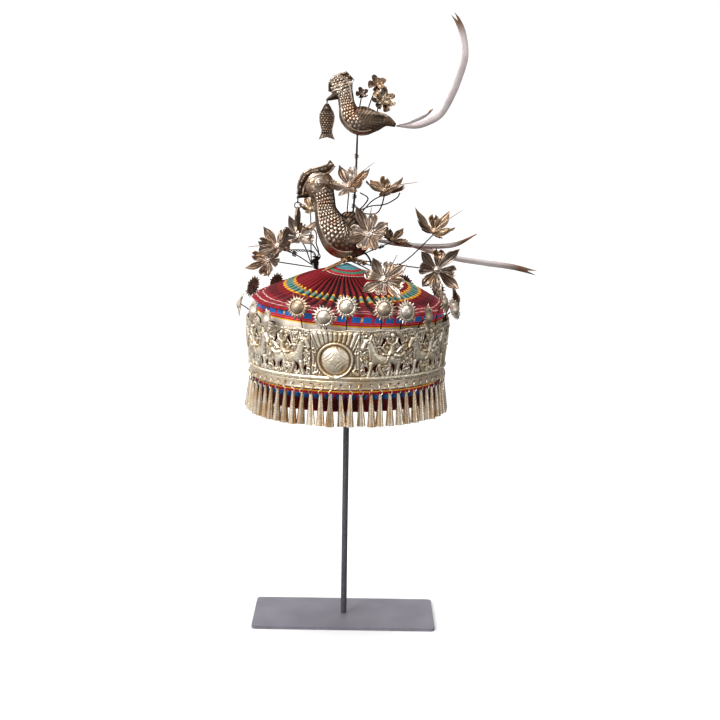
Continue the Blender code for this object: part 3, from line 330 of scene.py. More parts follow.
class Nodes:
    """Strings shader nodes together; a value is a number, a colour or another node's output."""

    def __init__(self, tree, place):
        self.tree = tree
        self.place = self.add("ShaderNodeTexCoord").outputs[place]

    def add(self, kind, **settings):
        node = self.tree.nodes.new(kind)
        for name, value in settings.items():
            setattr(node, name, value)
        return node

    def feed(self, socket, value):
        if isinstance(value, bpy.types.NodeSocket):
            self.tree.links.new(value, socket)
        else:
            socket.default_value = value

    def feed_all(self, node, values):
        for socket, value in values.items():
            self.feed(node.inputs[socket], value)
        return node.outputs

    def read(self, name):
        """A mark that the points of the piece carry."""
        return self.add("ShaderNodeAttribute", attribute_name=name).outputs["Fac"]

    def math(self, operation, first, second=0.0, third=0.0):
        node = self.add("ShaderNodeMath", operation=operation)
        return self.feed_all(node, {0: first, 1: second, 2: third})[0]

    def times(self, first, second):
        return self.math("MULTIPLY", first, second)

    def line(self, value, slope, start):
        """A value times a slope, plus a start."""
        return self.math("MULTIPLY_ADD", value, slope, start)

    def below(self, value, limit):
        """1 where the value is below a limit, else 0."""
        return self.math("LESS_THAN", value, limit)

    def between(self, value, low, high):
        return self.times(self.math("GREATER_THAN", value, low), self.below(value, high))

    def noise(self, size, detail=2.0, stretch=None):
        """Noise from 0 to 1 whose spots are about the given size in metres."""
        place = self.place
        if stretch:
            scale = self.add("ShaderNodeVectorMath", operation="MULTIPLY")
            place = self.feed_all(scale, {0: place, 1: stretch})[0]
        node = self.add("ShaderNodeTexNoise")
        return self.feed_all(node, {"Vector": place, "Scale": 1 / size, "Detail": detail})["Fac"]

    def ramp(self, value, stops, steps=False):
        """A run of colours, or of greys given as one number each."""
        node = self.add("ShaderNodeValToRGB")
        node.color_ramp.interpolation = "CONSTANT" if steps else "LINEAR"
        elements = node.color_ramp.elements
        while len(elements) < len(stops):
            elements.new(0.5)
        for element, (place, colour) in zip(elements, stops):
            element.position = place
            element.color = colour if isinstance(colour, tuple) else (colour, colour, colour, 1)
        return self.feed_all(node, {0: value})[0]

    def mix(self, factor, first, second, blend="MIX"):
        node = self.add("ShaderNodeMix", data_type="RGBA", blend_type=blend)
        return self.feed_all(node, {0: factor, 6: first, 7: second})[2]

    def shaded(self, colour, shade):
        return self.mix(1.0, colour, shade, "MULTIPLY")


print("node helpers:", [name for name in vars(Nodes) if not name.startswith("_")])

# %% One material
class Finish(Nodes):
    """A material with one shader, which gets a colour, a gloss and fine relief."""

    def __init__(self, name, metallic=0.0, roughness=0.5):
        self.material = bpy.data.materials.new(name)
        self.material.use_nodes = True
        super().__init__(self.material.node_tree, "Object")
        self.shader = self.tree.nodes["Principled BSDF"]
        self.feed_all(self.shader, {"Metallic": metallic, "Roughness": roughness})
        self.normal = None

    def emboss(self, height, distance, strength=1.0):
        """Fine relief of a distance in metres, on top of what is there already."""
        node = self.add("ShaderNodeBump")
        values = {"Height": height, "Distance": distance, "Strength": strength}
        if self.normal is not None:
            values["Normal"] = self.normal
        self.normal = self.feed_all(node, values)[0]
        self.feed(self.shader.inputs["Normal"], self.normal)

    def colour(self, value):
        self.feed(self.shader.inputs["Base Color"], value)

    def gloss(self, rough, smooth, value):
        """Roughness that follows a value from 0, smooth, to 1, rough."""
        self.feed(self.shader.inputs["Roughness"], self.line(value, rough - smooth, smooth))


print("white paper:", [round(c, 3) for c in dye(235, 225, 215)])

# %% [markdown]
# ## Finish: old silver
#
# The sheet silver is warm and pale on its raised parts, and brown to black where the polishing
# cloth never reaches. Silver could be plain metal with a dark room round it, but the dirt in the
# hollows is what makes the figures readable, so each piece marks its hollows and the finish
# darkens them. A fine stipple stands for the punch marks of the chaser.

# %% Silver, bronze and wire finishes
TINTS = ((0.0, dye(112, 100, 94)), (0.5, dye(198, 184, 172)), (1.0, dye(255, 255, 255)))


def old_metal(name, bright, worn, dark, gilt, rough, smooth, stipple, speckle=0.35, beaten=0.8,
              metallic=1.0):
    """Aged metal from four colours; stipple and beaten are the depths of its marks in millimetres."""
    finish = Finish(name, metallic=metallic)
    cloud = finish.noise(9 * MM, 3)
    speck = finish.noise(0.9 * MM, 2)
    tone = finish.line(cloud, 0.9, finish.line(speck, speckle, -speckle / 3))
    clean = finish.ramp(tone, ((0.25, dye(*worn)), (0.62, dye(*bright))))
    rubbed = finish.ramp(finish.noise(17 * MM, 2), ((0.48, dye(0, 0, 0)), (0.66, dye(210, 210, 210))))
    clean = finish.mix(rubbed, clean, dye(*gilt))
    dirt = finish.line(cloud, 0.6, finish.line(finish.read("hollow"), 1.1, -0.42))
    dirt = finish.math("MINIMUM", finish.math("MAXIMUM", dirt, 0.0), 0.92)
    toned = finish.mix(dirt, clean, dye(*dark))
    finish.colour(finish.shaded(toned, finish.ramp(finish.read("tint"), TINTS)))
    finish.gloss(rough + 0.2, smooth, finish.math("MAXIMUM", speck, dirt))
    finish.emboss(finish.noise(4 * MM, 3), beaten * MM, 0.6)
    finish.emboss(finish.noise(0.9 * MM, 2), stipple * MM, 0.8)
    return finish.material


# Bright, worn, dirty and gilt colour, rough and smooth gloss, stipple, speckle and beaten marks
METALS = {
    "band_silver": ((255, 246, 228), (238, 218, 186), (116, 90, 66), (240, 212, 166), 0.34, 0.18, 0.30),
    "cone_silver": ((252, 242, 224), (210, 180, 142), (70, 46, 30), (224, 184, 128), 0.24, 0.10, 0.04,
                    0.15, 0.25),
    "flower_silver": ((238, 224, 212), (172, 152, 136), (46, 36, 32), (196, 152, 100), 0.30, 0.14, 0.12),
    "flower_brown": ((212, 190, 162), (128, 106, 86), (34, 26, 22), (178, 140, 100), 0.32, 0.16, 0.12),
    "sun_silver": ((246, 234, 218), (212, 194, 174), (92, 74, 60), (220, 196, 160), 0.34, 0.18, 0.12),
    "bird_bronze": ((236, 222, 206), (142, 116, 96), (28, 20, 17), (190, 136, 92), 0.28, 0.12, 0.10),
    "feather_silver": ((248, 240, 240), (232, 216, 214), (124, 84, 50), (242, 228, 226), 0.30, 0.16, 0.05,
                       0.2, 0.15),
    "dark_wire": ((66, 56, 52), (46, 40, 38), (22, 19, 19), (92, 68, 50), 0.70, 0.50, 0.20, 0.35, 0.8, 0.2),
    "gilt_wire": ((196, 160, 122), (128, 94, 66), (38, 27, 21), (190, 142, 88), 0.40, 0.22, 0.20),
}
METAL = {name: old_metal(name, *values) for name, values in METALS.items()}
print("metal finishes:", list(METAL))

# %% [markdown]
# ## The crown
#
# On the real hat one long strip of cloth is folded like an accordion and drawn together at the
# top, then bound with narrow coloured rings. A cloth simulation would make loose folds, not 52
# even ones, so the folds are modelled: a cone through five sections, with a round ridge and a
# sharp valley for each pleat. The dyed zigzag only shows on the outside of the folds, and each
# point carries how far round its own fold it is, so the pattern follows the cloth.

# %% Crown shape
PLEATS = 52
PER_PLEAT = 6
# Share of the radius, rise, lean and roll in degrees, and shift of each ring
CROWN_SECTIONS = np.array((
    (0.000, 1.000, 0.0, 0.0, -0.015),
    (0.120, 0.870, 6.0, 4.0, -0.012),
    (0.230, 0.750, 6.5, 5.0, -0.006),
    (0.575, 0.467, 6.8, 2.8, 0.040),
    (1.000, 0.000, 1.1, 2.3, 0.028),
)).T
EDGE_SHIFT = CROWN_SECTIONS[-1, -1] * CROWN_RADIUS
PLEAT_START = 20.5 * MM
ZIGZAG_MIDDLE = 60.0
PLEAT_DEPTH = 1.35 * MM
RIDGE_LIFT = 0.6 * MM
CROWN_THICK = 0.8 * MM
EDGE_ROLL = 1.1 * MM


def crown_surface(share, angle, lift):
    """Points of the crown at a share of its radius; lean and roll tilt the rings."""
    rise, lean, roll, shift = (through(share, CROWN_SECTIONS[0], values) for values in CROWN_SECTIONS[1:])
    flat = around(angle, share * CROWN_RADIUS, 0.0)
    z = CROWN_EDGE + CROWN_RISE * rise + flat[..., 1] * np.tan(np.radians(lean))
    z = z - flat[..., 0] * np.tan(np.radians(roll)) + lift
    return np.stack([flat[..., 0] + shift * CROWN_RADIUS, flat[..., 1], z], axis=-1)


def pleat_wave(share, angle):
    """Height of the folds, and how far each point is from its ridge, 0, to its valley, 1."""
    turn = np.radians(angle)
    drift = 0.16 * np.sin(5 * turn + 1) + 0.12 * np.sin(11 * turn + 9 * share)
    place = angle / 360 * PLEATS + ease(0.25, 0.7, share) * drift
    fold = np.abs(2 * (place % 1) - 1)
    opened = 0.55 + 0.75 * ease(0.3, 1.0, np.cos(turn + 0.1))
    depth = PLEAT_DEPTH * ease(PLEAT_START / CROWN_RADIUS, 0.34, share) * opened
    depth = depth * (1 - 0.72 * ease(0.72, 0.98, share))
    uneven = 1 + 0.25 * np.sin(3.1 * np.floor(place) + 1.7)
    return RIDGE_LIFT * ease(0.2, 0.3, share) - depth * uneven * 2 * fold ** 1.5, fold


# %% Crown mesh
RIM_ROWS = 4
shares = np.concatenate([np.linspace(0.004, 0.21, 14), np.linspace(0.222, 1.0, 62)])
angles = np.linspace(0, 360, PLEATS * PER_PLEAT, endpoint=False)
share_grid, angle_grid = np.meshgrid(shares, angles, indexing="ij")
lift, fold = pleat_wave(share_grid, angle_grid)
edge_wave = np.sin(np.radians(9 * angle_grid) + 0.6) + 0.6 * np.sin(np.radians(14 * angle_grid) + 2)
lift = lift + 0.7 * MM * ease(0.7, 1, share_grid) * edge_wave
crown_top = crown_surface(share_grid, angle_grid, lift)
rim_turn = np.linspace(0.5, 1.0, RIM_ROWS)[:, None] * np.pi
rim_out = 1 + EDGE_ROLL / CROWN_RADIUS * (np.sin(rim_turn) - 0.2)
rim_lift = lift[-1] - EDGE_ROLL * (1 - np.cos(rim_turn))
rim = crown_surface(np.ones_like(rim_out), angles[None, :], rim_lift)
rim[..., 0] = (rim[..., 0] - EDGE_SHIFT) * rim_out + EDGE_SHIFT
rim[..., 1] = rim[..., 1] * rim_out
crown_top = np.concatenate([crown_top, rim])
crown_under = crown_top - np.array((0.0, 0.0, CROWN_THICK))
crown_under[-RIM_ROWS:] = crown_top[-RIM_ROWS:] * np.array((0.99, 0.99, 1.0)) + (0, 0, CROWN_THICK / 4)
rim_shares = np.repeat(1 + np.arange(1, RIM_ROWS + 1)[:, None] * 0.006, len(angles), axis=1)
radius_mark = np.concatenate([share_grid, rim_shares])
fold_mark = np.concatenate([fold, np.repeat(fold[-1:], RIM_ROWS, axis=0)])
print("crown grid:", crown_top.shape[:2], "top", round(crown_top[..., 2].max(), 4))

# %% [markdown]
# ## Finish: dyed cloth
#
# The cloth is maroon with a blue-green disc in the middle, red and green rings, and one broad
# zigzag. The rings could be separate pieces, but on the hat they are one dyed and stitched
# cloth, so one finish reads the distance from the middle and picks a colour in steps. Soft
# noise fades the dye, and a fine weave gives the cloth its dull surface. Across each fold a
# painted shade darkens the colour from the ridge into the valley.


# %% Crown finish
MAROON = dye(134, 25, 35)
DEEP_MAROON = dye(102, 19, 29)
RED = dye(186, 34, 44)
TEAL = dye(88, 158, 168)
GREEN = dye(72, 142, 118)
CREAM = dye(238, 228, 212)
YELLOW = dye(246, 190, 40)
ORANGE = dye(232, 122, 28)
BLUE = dye(34, 112, 188)


def weave(finish, thread=0.45 * MM):
    """Crossed threads as fine relief, with a soft crumple under them."""
    finish.emboss(finish.noise(6 * MM, 3), 0.4 * MM, 0.5)
    for stretch in ((1.0, 1.0, 0.35), (0.35, 0.35, 1.0)):
        finish.emboss(finish.noise(thread, 1, stretch), 0.12 * MM, 0.8)
    finish.feed_all(finish.shader, {"Sheen Weight": 0.04, "Sheen Roughness": 0.5, "Specular IOR Level": 0.12})
    return finish.material


def faded(finish, colour, size, low):
    """Uneven dye: the colour with soft lighter and darker clouds."""
    clouds = finish.ramp(finish.noise(size, 3), ((0.3, dye(*low)), (0.7, dye(255, 255, 255))))
    return finish.shaded(colour, clouds)


RINGS = ((0.0, TEAL), (6.4, dye(160, 166, 160)), (7.4, TEAL), (11.0, RED), (14.0, GREEN), (17.0, RED),
         (20.0, CREAM), (20.9, MAROON), (72.0, DEEP_MAROON), (80.0, MAROON), (94.5, RED))
# Painted shade across a fold, from its ridge at 0 to its valley at 1
FOLD_SHADE = ((0.0, dye(255, 250, 250)), (0.40, dye(215, 205, 205)), (0.62, dye(110, 92, 96)),
              (0.85, dye(16, 10, 12)))


def strips(finish, distance, span, bands):
    """Colours in steps by a distance in millimetres."""
    return finish.ramp(finish.math("DIVIDE", distance, span), [(mm / span, tone) for mm, tone in bands], True)


def crown_cloth():
    finish = Finish("crown_cloth", roughness=0.85)
    radius = finish.times(finish.read("radius"), CROWN_RADIUS / MM)
    fold = finish.read("fold")
    ring = finish.math("ADD", radius, finish.line(finish.noise(4 * MM, 1), 0.8, -0.4))
    colour = strips(finish, ring, 100.0, RINGS)
    away = finish.math("ABSOLUTE", finish.math("SUBTRACT", radius, ZIGZAG_MIDDLE))
    side = finish.read("open_front")
    narrow = finish.line(side, -0.30, 1.08)
    teal_edge = finish.times(narrow, finish.line(fold, -3.2, 5.0))
    teeth_edge = finish.times(narrow, finish.line(fold, -1.6, 7.0))
    # Painted shade on the zigzag: its yellow turns orange on the slopes of each fold, and its teal is lighter
    # on the ridge half and darker towards the valley
    bright = finish.mix(finish.between(fold, 0.40, 0.72), YELLOW, ORANGE)
    teal = finish.mix(finish.between(fold, 0.0, 0.5), dye(44, 106, 104), dye(104, 152, 136))
    teeth = finish.mix(finish.below(away, teal_edge), bright, teal)
    colour = finish.mix(finish.below(away, teeth_edge), colour, teeth)
    stitched = finish.math("ADD", ring, finish.line(fold, 1.5, -0.75))
    for row in (84.6, 90.6):
        colour = finish.mix(finish.between(stitched, row - 0.45, row + 0.45), colour, dye(222, 186, 180))
    # Painted shade: from 20.5 mm out, each fold's colour darkens from its ridge into its valley, most where
    # the pleats open at the front
    folded = finish.times(finish.between(radius, 20.5, 96.0), side)
    colour = finish.mix(folded, colour, finish.shaded(colour, finish.ramp(fold, FOLD_SHADE)))
    finish.colour(faded(finish, colour, 14 * MM, (222, 214, 214)))
    return weave(finish)


def add_cloth(name, top, under, material, node, marks):
    """A cloth piece from its two faces, both read from the last row to the first."""
    heap = Heap()
    heap.add(sheet_body(top[::-1], under[::-1], closed=True))
    piece = finish_piece(name, heap, (material,), (node,), 80)
    for label, values in marks.items():
        values = np.broadcast_to(values, top.shape[:2])[::-1].ravel()
        mark(piece.data, label, np.concatenate([values, values]))
    return piece


open_front = 0.42 + 0.56 * ease(0.45, 0.95, np.cos(np.radians(angles + 6)))
open_mark = open_front[None] * (1 - 0.45 * ease(0.74, 0.86, radius_mark))
crown = add_cloth("crown_cloth", crown_top, crown_under, crown_cloth(), "crown",
                  {"radius": radius_mark, "fold": fold_mark, "open_front": open_mark})
print("crown cloth made")

# %% [markdown]
# ## The side wall
#
# Under the crown's edge a tube of cloth goes down to the brow. Above the silver band it shows a
# blue woven strip, a red ribbon and plain white cloth, and below the cones a blue pattern and a
# pleated maroon hem. One tube carries all of it, because the real strips are sewn flat onto it,
# and its folds grow only below the band.

# %% Side wall shape
HEM_PLEATS = 64
HEM_COLUMNS = 6
HEM_FOLD = 1.0 * MM
WALL_THICK = 1.2 * MM
HEM_INSET = 2.7 * MM


wall_angles = np.linspace(0, 360, HEM_PLEATS * HEM_COLUMNS, endpoint=False)
crown_rim_z = crown_surface(np.full_like(wall_angles, 0.97), wall_angles, 0.0)[:, 2] - 1.9 * MM
upper_rows = np.linspace(0, 1, 14)[:, None]
band_top = BAND_FOOT + BAND_HEIGHT
upper_z = crown_rim_z[None] * (1 - upper_rows) + (band_top - 4 * MM) * upper_rows
lower_rows = np.concatenate([np.linspace(band_top - 8 * MM, STRIP_FOOT + 4 * MM, 4),
                             np.linspace(STRIP_FOOT, HEM, 24)])
wall_z = np.concatenate([upper_z, lower_rows[:, None] * np.ones_like(wall_angles)])
down = ease(STRIP_FOOT - 3 * MM, HEM + 2 * MM, wall_z)
fold_place = wall_angles / 360 * HEM_PLEATS + 0.12 * np.sin(np.radians(wall_angles) * 7)
hem_fold = np.abs(2 * (fold_place % 1) - 1)
soft_wave = 0.3 * MM * np.sin(np.radians(wall_angles) * 11) * (wall_z > band_top)
wall_radius = WALL_RADIUS - 0.4 * MM - HEM_INSET * ease(STRIP_FOOT, STRIP_FOOT - 4 * MM, wall_z)
wall_radius = wall_radius - down * HEM_FOLD * 2 * hem_fold ** 1.3 + soft_wave - 0.5 * MM * down
lean_shift = np.clip((wall_z - band_top) / (crown_rim_z - band_top), 0, 1) * EDGE_SHIFT
wall_outer = around(wall_angles[None], wall_radius, wall_z)
wall_inner = around(wall_angles[None], wall_radius - WALL_THICK, wall_z)
for face in (wall_outer, wall_inner):
    face[..., 0] += lean_shift
print("wall grid:", wall_outer.shape[:2], "hem", round(wall_z.min(), 4))

# %% [markdown]
# The wall's finish is a stack of strips by height. Each strip's edges follow the crown's rim at
# the top, and the table at the bottom, so the height is marked from whichever edge is nearer.
# Low down, a painted shade darkens each pleat of the hem towards its valley.


# %% Side wall finish
STRIP_BLOCKS = 27
RIM_BANDS = ((0.0, RED), (0.7, BLUE), (5.8, dye(200, 36, 48)), (7.0, dye(214, 84, 92)),
             (7.9, dye(186, 30, 42)), (9.0, YELLOW), (10.1, CREAM), (19.5, DEEP_MAROON))
HEM_BANDS = ((0.0, RED), (1.2, DEEP_MAROON), (11.6, BLUE), (15.8, dye(176, 34, 44)), (18.6, YELLOW),
             (19.8, MAROON))
# Painted shade across a hem pleat, from its ridge at 0 to its valley at 1
HEM_SHADE = ((0.0, dye(255, 255, 255)), (0.5, dye(170, 160, 160)), (1.0, dye(30, 22, 24)))


def wall_cloth():
    finish = Finish("wall_cloth", roughness=0.85)
    below_rim = finish.read("below_rim")
    above_hem = finish.read("above_hem")
    colour = strips(finish, below_rim, 20.0, RIM_BANDS)
    count = finish.times(finish.read("turn"), STRIP_BLOCKS)
    block = finish.math("FRACT", count)
    # The gaps between the blue blocks are red, and each fifth one is orange with a pale dot
    fifth = finish.math("FRACT", finish.math("DIVIDE", finish.math("FLOOR", count), 5))
    fifth = finish.below(fifth, 0.15)
    gap = finish.times(finish.between(below_rim, 0.7, 5.8), finish.between(block, 0.77, 0.99))
    colour = finish.mix(gap, colour, finish.mix(fifth, RED, ORANGE))
    dots = finish.times(finish.between(below_rim, 2.4, 4.2), finish.between(block, 0.81, 0.93))
    colour = finish.mix(finish.times(dots, fifth), colour, CREAM)
    foot = strips(finish, above_hem, 30.0, HEM_BANDS)
    slope = finish.line(finish.math("ABSOLUTE", finish.math("SUBTRACT", block, 0.5)), 26.0, -7.6)
    tooth = finish.times(finish.below(finish.math("SUBTRACT", above_hem, 11.6), slope),
                         finish.between(above_hem, 11.6, 15.8))
    foot = finish.mix(tooth, foot, dye(150, 20, 34))
    colour = finish.mix(finish.below(above_hem, 26.0), colour, foot)
    # Painted shade: in the lowest 17 mm each pleat of the hem darkens towards its valley
    folded = finish.times(finish.below(above_hem, 17.0), 0.9)
    colour = finish.mix(folded, colour, finish.shaded(colour, finish.ramp(finish.read("fold"), HEM_SHADE)))
    finish.colour(faded(finish, colour, 10 * MM, (214, 208, 208)))
    return weave(finish)


side_wall = add_cloth("side_cloth", wall_outer, wall_inner, wall_cloth(), "side_wall",
                      {"below_rim": (crown_rim_z[None] - wall_z) / MM, "above_hem": (wall_z - HEM) / MM,
                       "fold": hem_fold[None], "turn": np.abs(wall_angles[None] / 180 - 1)})
print("side cloth made")

# %% [markdown]
# ## The silver band
#
# The band is one sheet of silver, beaten up from behind into twelve riders and a round
# medallion, and pierced between the horses' legs and beside each rider. A sculpted figure could
# be boxed and smoothed by hand twelve times. Here one rider is drawn as strokes, each a tapered
# bar with a domed top, and the heights of all strokes together are the relief. The same drawing
# serves every rider, mirrored so that all of them look towards the medallion.

# %% Strokes of one rider, in millimetres
# From x, y to x, y, the radius at each end, and the height
HORSE = (
    (-8, 19.5, 12, 18.5, 5.2, 5.4, 1.8), (-9.5, 20, -12.5, 27, 5.0, 4.1, 1.9),
    (-12.5, 27, -15.4, 35, 4.0, 3.1, 2.0), (-15.8, 36.6, -18.2, 37.0, 3.1, 2.2, 2.2),
    (-18.4, 36.8, -21.4, 30.0, 2.3, 1.6, 2.3), (-21.6, 29.8, -20.4, 28.6, 1.3, 1.0, 2.0),
    (-14.4, 39.0, -13.2, 42.6, 0.9, 0.4, 1.6), (-12.2, 38.0, -7.8, 26.5, 0.6, 0.7, 2.3),
    (-15.0, 29.0, -14.4, 19.0, 0.6, 0.8, 2.1), (-12.8, 16, -13.8, 10, 2.2, 1.4, 1.7),
    (-13.8, 10, -15.4, 4.6, 1.3, 1.5, 1.6), (-6.0, 15.5, -4.6, 9.8, 2.1, 1.3, 1.7),
    (-4.6, 9.8, -0.8, 4.4, 1.2, 1.2, 1.7), (-2.0, 10.2, 1.8, 4.8, 0.7, 0.7, 1.5),
    (4.8, 15.5, 4.6, 9.8, 2.3, 1.4, 1.7), (4.6, 9.8, 3.4, 4.6, 1.3, 1.4, 1.6),
    (13.6, 16, 13.6, 10, 2.5, 1.5, 1.7), (13.6, 10, 12.2, 4.6, 1.3, 1.4, 1.6),
    (15.5, 21.5, 19.6, 25.0, 1.7, 1.4, 1.7), (19.6, 25.0, 21.8, 17.5, 1.3, 0.7, 1.4),
    (-5.4, 13.6, 4.8, 13.8, 0.5, 0.5, 1.9),
)
RIDER = (
    (6.2, 25.5, 6.2, 32.0, 2.6, 2.0, 2.4), (6.6, 41.0, 6.6, 42.0, 2.0, 2.0, 2.6),
    (6.6, 37.2, 6.4, 39.2, 1.2, 1.0, 2.0), (0.8, 39.2, 2.2, 35.0, 0.8, 1.0, 1.9),
    (2.2, 35.0, 6.2, 33.0, 1.0, 1.2, 2.1), (6.2, 33.0, 10.2, 35.0, 1.2, 1.0, 2.1),
    (10.2, 35.0, 11.6, 39.2, 1.0, 0.8, 1.9), (4.4, 25.5, 1.2, 18.0, 1.7, 1.1, 2.7),
    (1.2, 18.0, -0.6, 16.6, 1.0, 0.8, 2.5), (-3.6, 31.0, 0.6, 26.4, 1.2, 1.0, 1.8),
    (16.4, 30.8, 11.6, 26.2, 1.4, 1.0, 1.8), (10.2, 22.8, 14.4, 22.2, 2.4, 2.1, 2.5),
    (-1.8, 24.6, 3.6, 23.6, 1.3, 1.3, 2.4), (-1.6, 31.8, -14.0, 31.0, 0.4, 0.4, 1.8),
    (17.6, 31.2, 18.2, 31.6, 1.5, 1.4, 1.7),
)
# Curls: middle, radius, from and to in degrees, half width and height
CURLS = (
    (-17.8, 28.2, 2.3, 0, 190, 0.6, 1.7), (-20.6, 8.4, 1.9, -40, 240, 0.6, 1.7),
    (-18.6, 15.6, 1.7, -150, 90, 0.5, 1.4), (-8.6, 6.4, 1.7, 150, 400, 0.5, 1.5),
    (0.6, 10.6, 2.2, -30, 250, 0.6, 1.7), (0.6, 10.2, 0.8, 0, 360, 0.5, 1.6),
    (8.6, 5.2, 1.7, -40, 200, 0.5, 1.5), (17.4, 5.4, 1.7, -20, 220, 0.5, 1.5),
    (20.6, 10.4, 1.6, 60, 300, 0.5, 1.4), (20.2, 30.0, 2.3, 120, 350, 0.7, 1.6),
    (19.4, 37.6, 2.5, -90, 130, 0.7, 1.6), (16.2, 42.8, 1.7, 0, 250, 0.5, 1.4),
    (-19.6, 42.6, 2.0, -60, 180, 0.6, 1.5), (-8.6, 43.0, 1.8, 160, 400, 0.6, 1.5),
    (-5.6, 29.4, 1.6, 100, 330, 0.5, 1.4), (-8.4, 35.6, 1.5, 200, 420, 0.5, 1.4),
    (0.6, 43.2, 1.3, 0, 360, 0.5, 1.4), (12.4, 43.2, 1.3, 0, 360, 0.5, 1.4),
    (-10.4, 21.8, 2.2, -60, 120, 0.4, 2.2), (-6.4, 18.6, 2.2, -60, 120, 0.4, 2.3),
    (16.2, 18.6, 2.2, 60, 240, 0.4, 2.2),
)
# Pierced gaps: middle, half width, half height, slant in degrees and how far each one bends
RIDER_GAPS = ((-2.4, 36.2, 1.6, 5.0, -14, -1.7), (14.2, 36.2, 1.6, 5.0, 14, 1.7),
              (-18.0, 10.6, 1.6, 4.0, 10, -1.6), (-9.3, 11.4, 1.7, 4.2, -8, 1.5),
              (8.8, 11.2, 1.7, 4.4, 12, -1.2), (18.0, 11.4, 1.6, 4.2, -8, 1.2))
print("strokes:", len(HORSE) + len(RIDER), "curls:", len(CURLS), "gaps:", len(RIDER_GAPS))

# %% [markdown]
# A stroke's height falls off like a dome across its width. The piercings are bent ovals: their
# distance field both cuts the sheet and raises a small lip round each cut, as a saw and a
# burnisher leave one.


# %% Relief of a rider
def stroke_relief(x, y, strokes):
    """Height of the strokes, and how far each point is outside the nearest of them."""
    height = np.zeros_like(x)
    outside = np.full_like(x, 9.0)
    for x0, y0, x1, y1, start, end, high in strokes:
        right, up = x1 - x0, y1 - y0
        along = ((x - x0) * right + (y - y0) * up) / max(right ** 2 + up ** 2, 1e-6)
        along = np.clip(along, 0, 1)
        away = np.hypot(x - x0 - along * right, y - y0 - along * up)
        reach = start + (end - start) * along
        height = np.maximum(height, high * dome(away, reach))
        outside = np.minimum(outside, away - reach)
    return height, outside


def curl_relief(x, y, curls):
    """Ridges bent into rings and hooks, thinner towards their ends."""
    height = np.zeros_like(x)
    for middle_x, middle_y, radius, start, stop, wide, high in curls:
        right, up = x - middle_x, y - middle_y
        sweep = stop - start
        along = ((np.degrees(np.arctan2(up, right)) - start) % 360) / sweep
        inside = (along <= 1) | (sweep >= 360)
        thin = 1 - 0.5 * np.clip(along, 0, 1) * (sweep < 360)
        ridge = dome(np.abs(np.hypot(right, up) - radius), wide * thin)
        height = np.maximum(height, high * ridge * inside)
    return height


def gap_distance(x, y):
    """About how far a point is outside the nearest pierced gap, in millimetres."""
    nearest = np.full_like(x, 99.0)
    for middle_x, middle_y, wide, high, slant, bend in RIDER_GAPS:
        cosine, sine = math.cos(math.radians(slant)), math.sin(math.radians(slant))
        right = (x - middle_x) * cosine + (y - middle_y) * sine
        up = ((y - middle_y) * cosine - (x - middle_x) * sine) / high
        right = (right - bend * (up ** 2 - 0.4)) / wide
        nearest = np.minimum(nearest, (np.hypot(right, up) - 1) * wide)
    return nearest


# The horse's eye, and the bosses between two riders, in millimetres
EYE = (-16.2, 36.6)
BOSSES = ((-22.8, 19), (22.8, 19))


def rider_relief(x, y):
    height, outside = stroke_relief(x, y, HORSE)
    upper, beyond = stroke_relief(x, y, RIDER)
    outside = np.minimum(outside, beyond)
    scales = 0.20 * np.cos(2.6 * (x + 0.5 * y)) * np.cos(2.6 * (y - 0.5 * x))
    height = np.maximum(height + scales * (height > 1.1), upper)
    height = np.maximum(height, curl_relief(x, y, CURLS))
    # Swirling lines fill the ground round the figures
    swirl = outside + 0.9 * np.sin(0.9 * x + 0.7 * y) * np.cos(0.8 * y - 0.5 * x)
    height = np.maximum(height, 0.75 * np.cos(np.pi * swirl / 2.1) ** 2 * (outside > 0.3))
    eye = np.hypot(x - EYE[0], y - EYE[1])
    height = height + 0.7 * bell(eye - 1.6, 0.45) - 0.7 * bell(eye, 0.6)
    for boss_x, boss_y in BOSSES:
        boss = np.hypot(x - boss_x, y - boss_y)
        height = np.maximum(height, 1.8 * dome(boss, 2.2)) + 0.25 * bell(boss - 3.4, 0.5)
    lip = bell(np.clip(gap_distance(x, y), 0, None), 0.7)
    return height * (1 - 0.75 * lip) + 0.6 * lip


print("rider relief at the saddle:", rider_relief(np.array(1.0), np.array(27.0)).round(2), "mm")

# %% [markdown]
# ## The medallion and the edges
#
# The medallion is a turned shape: a bright rim, a groove and a dome with engraved star facets,
# with a fan of flutes above it. Its relief is a curve of height against distance from its
# middle. Two beads run round the band's foot, and a thin bead and a slight wave finish its top.

# %% Medallion and borders
MEDALLION_Y = 0.41 * BAND_HEIGHT / MM
DOME_EDGE = 12.4
RING_HEIGHTS = (
    (0.0, 5.0), (4.5, 4.7), (10.0, 3.3), (12.6, 1.3), (13.3, 0.3), (14.2, 1.0),
    (15.2, 2.4), (16.1, 2.0), (16.8, 0.4), (17.5, 0.0), (19.0, 0.0), (30.0, 0.0), (60.0, 0.0),
)
MEDALLION_STROKES = ((20.6, 30.0, 21.2, 44.0, 0.6, 0.6, 1.1), (-21.6, 30.0, -21.2, 45.0, 0.6, 0.6, 1.1),
                     (-20.4, 6.0, -16.5, 8.0, 1.2, 0.7, 1.4), (20.4, 6.0, 16.5, 8.0, 1.2, 0.7, 1.4))
MEDALLION_CURLS = ((-19.6, 11.4, 2.0, -60, 200, 0.6, 1.5), (19.4, 9.2, 2.2, 20, 280, 0.7, 1.6),
                   (19.0, 27.0, 2.0, -120, 90, 0.6, 1.5), (-19.2, 27.4, 2.0, 90, 300, 0.6, 1.5))
FAN_FLUTES = 10
FAN_HALF = 24.0
FAN_CENTRE = -9.0
STAR_POWER = 0.72


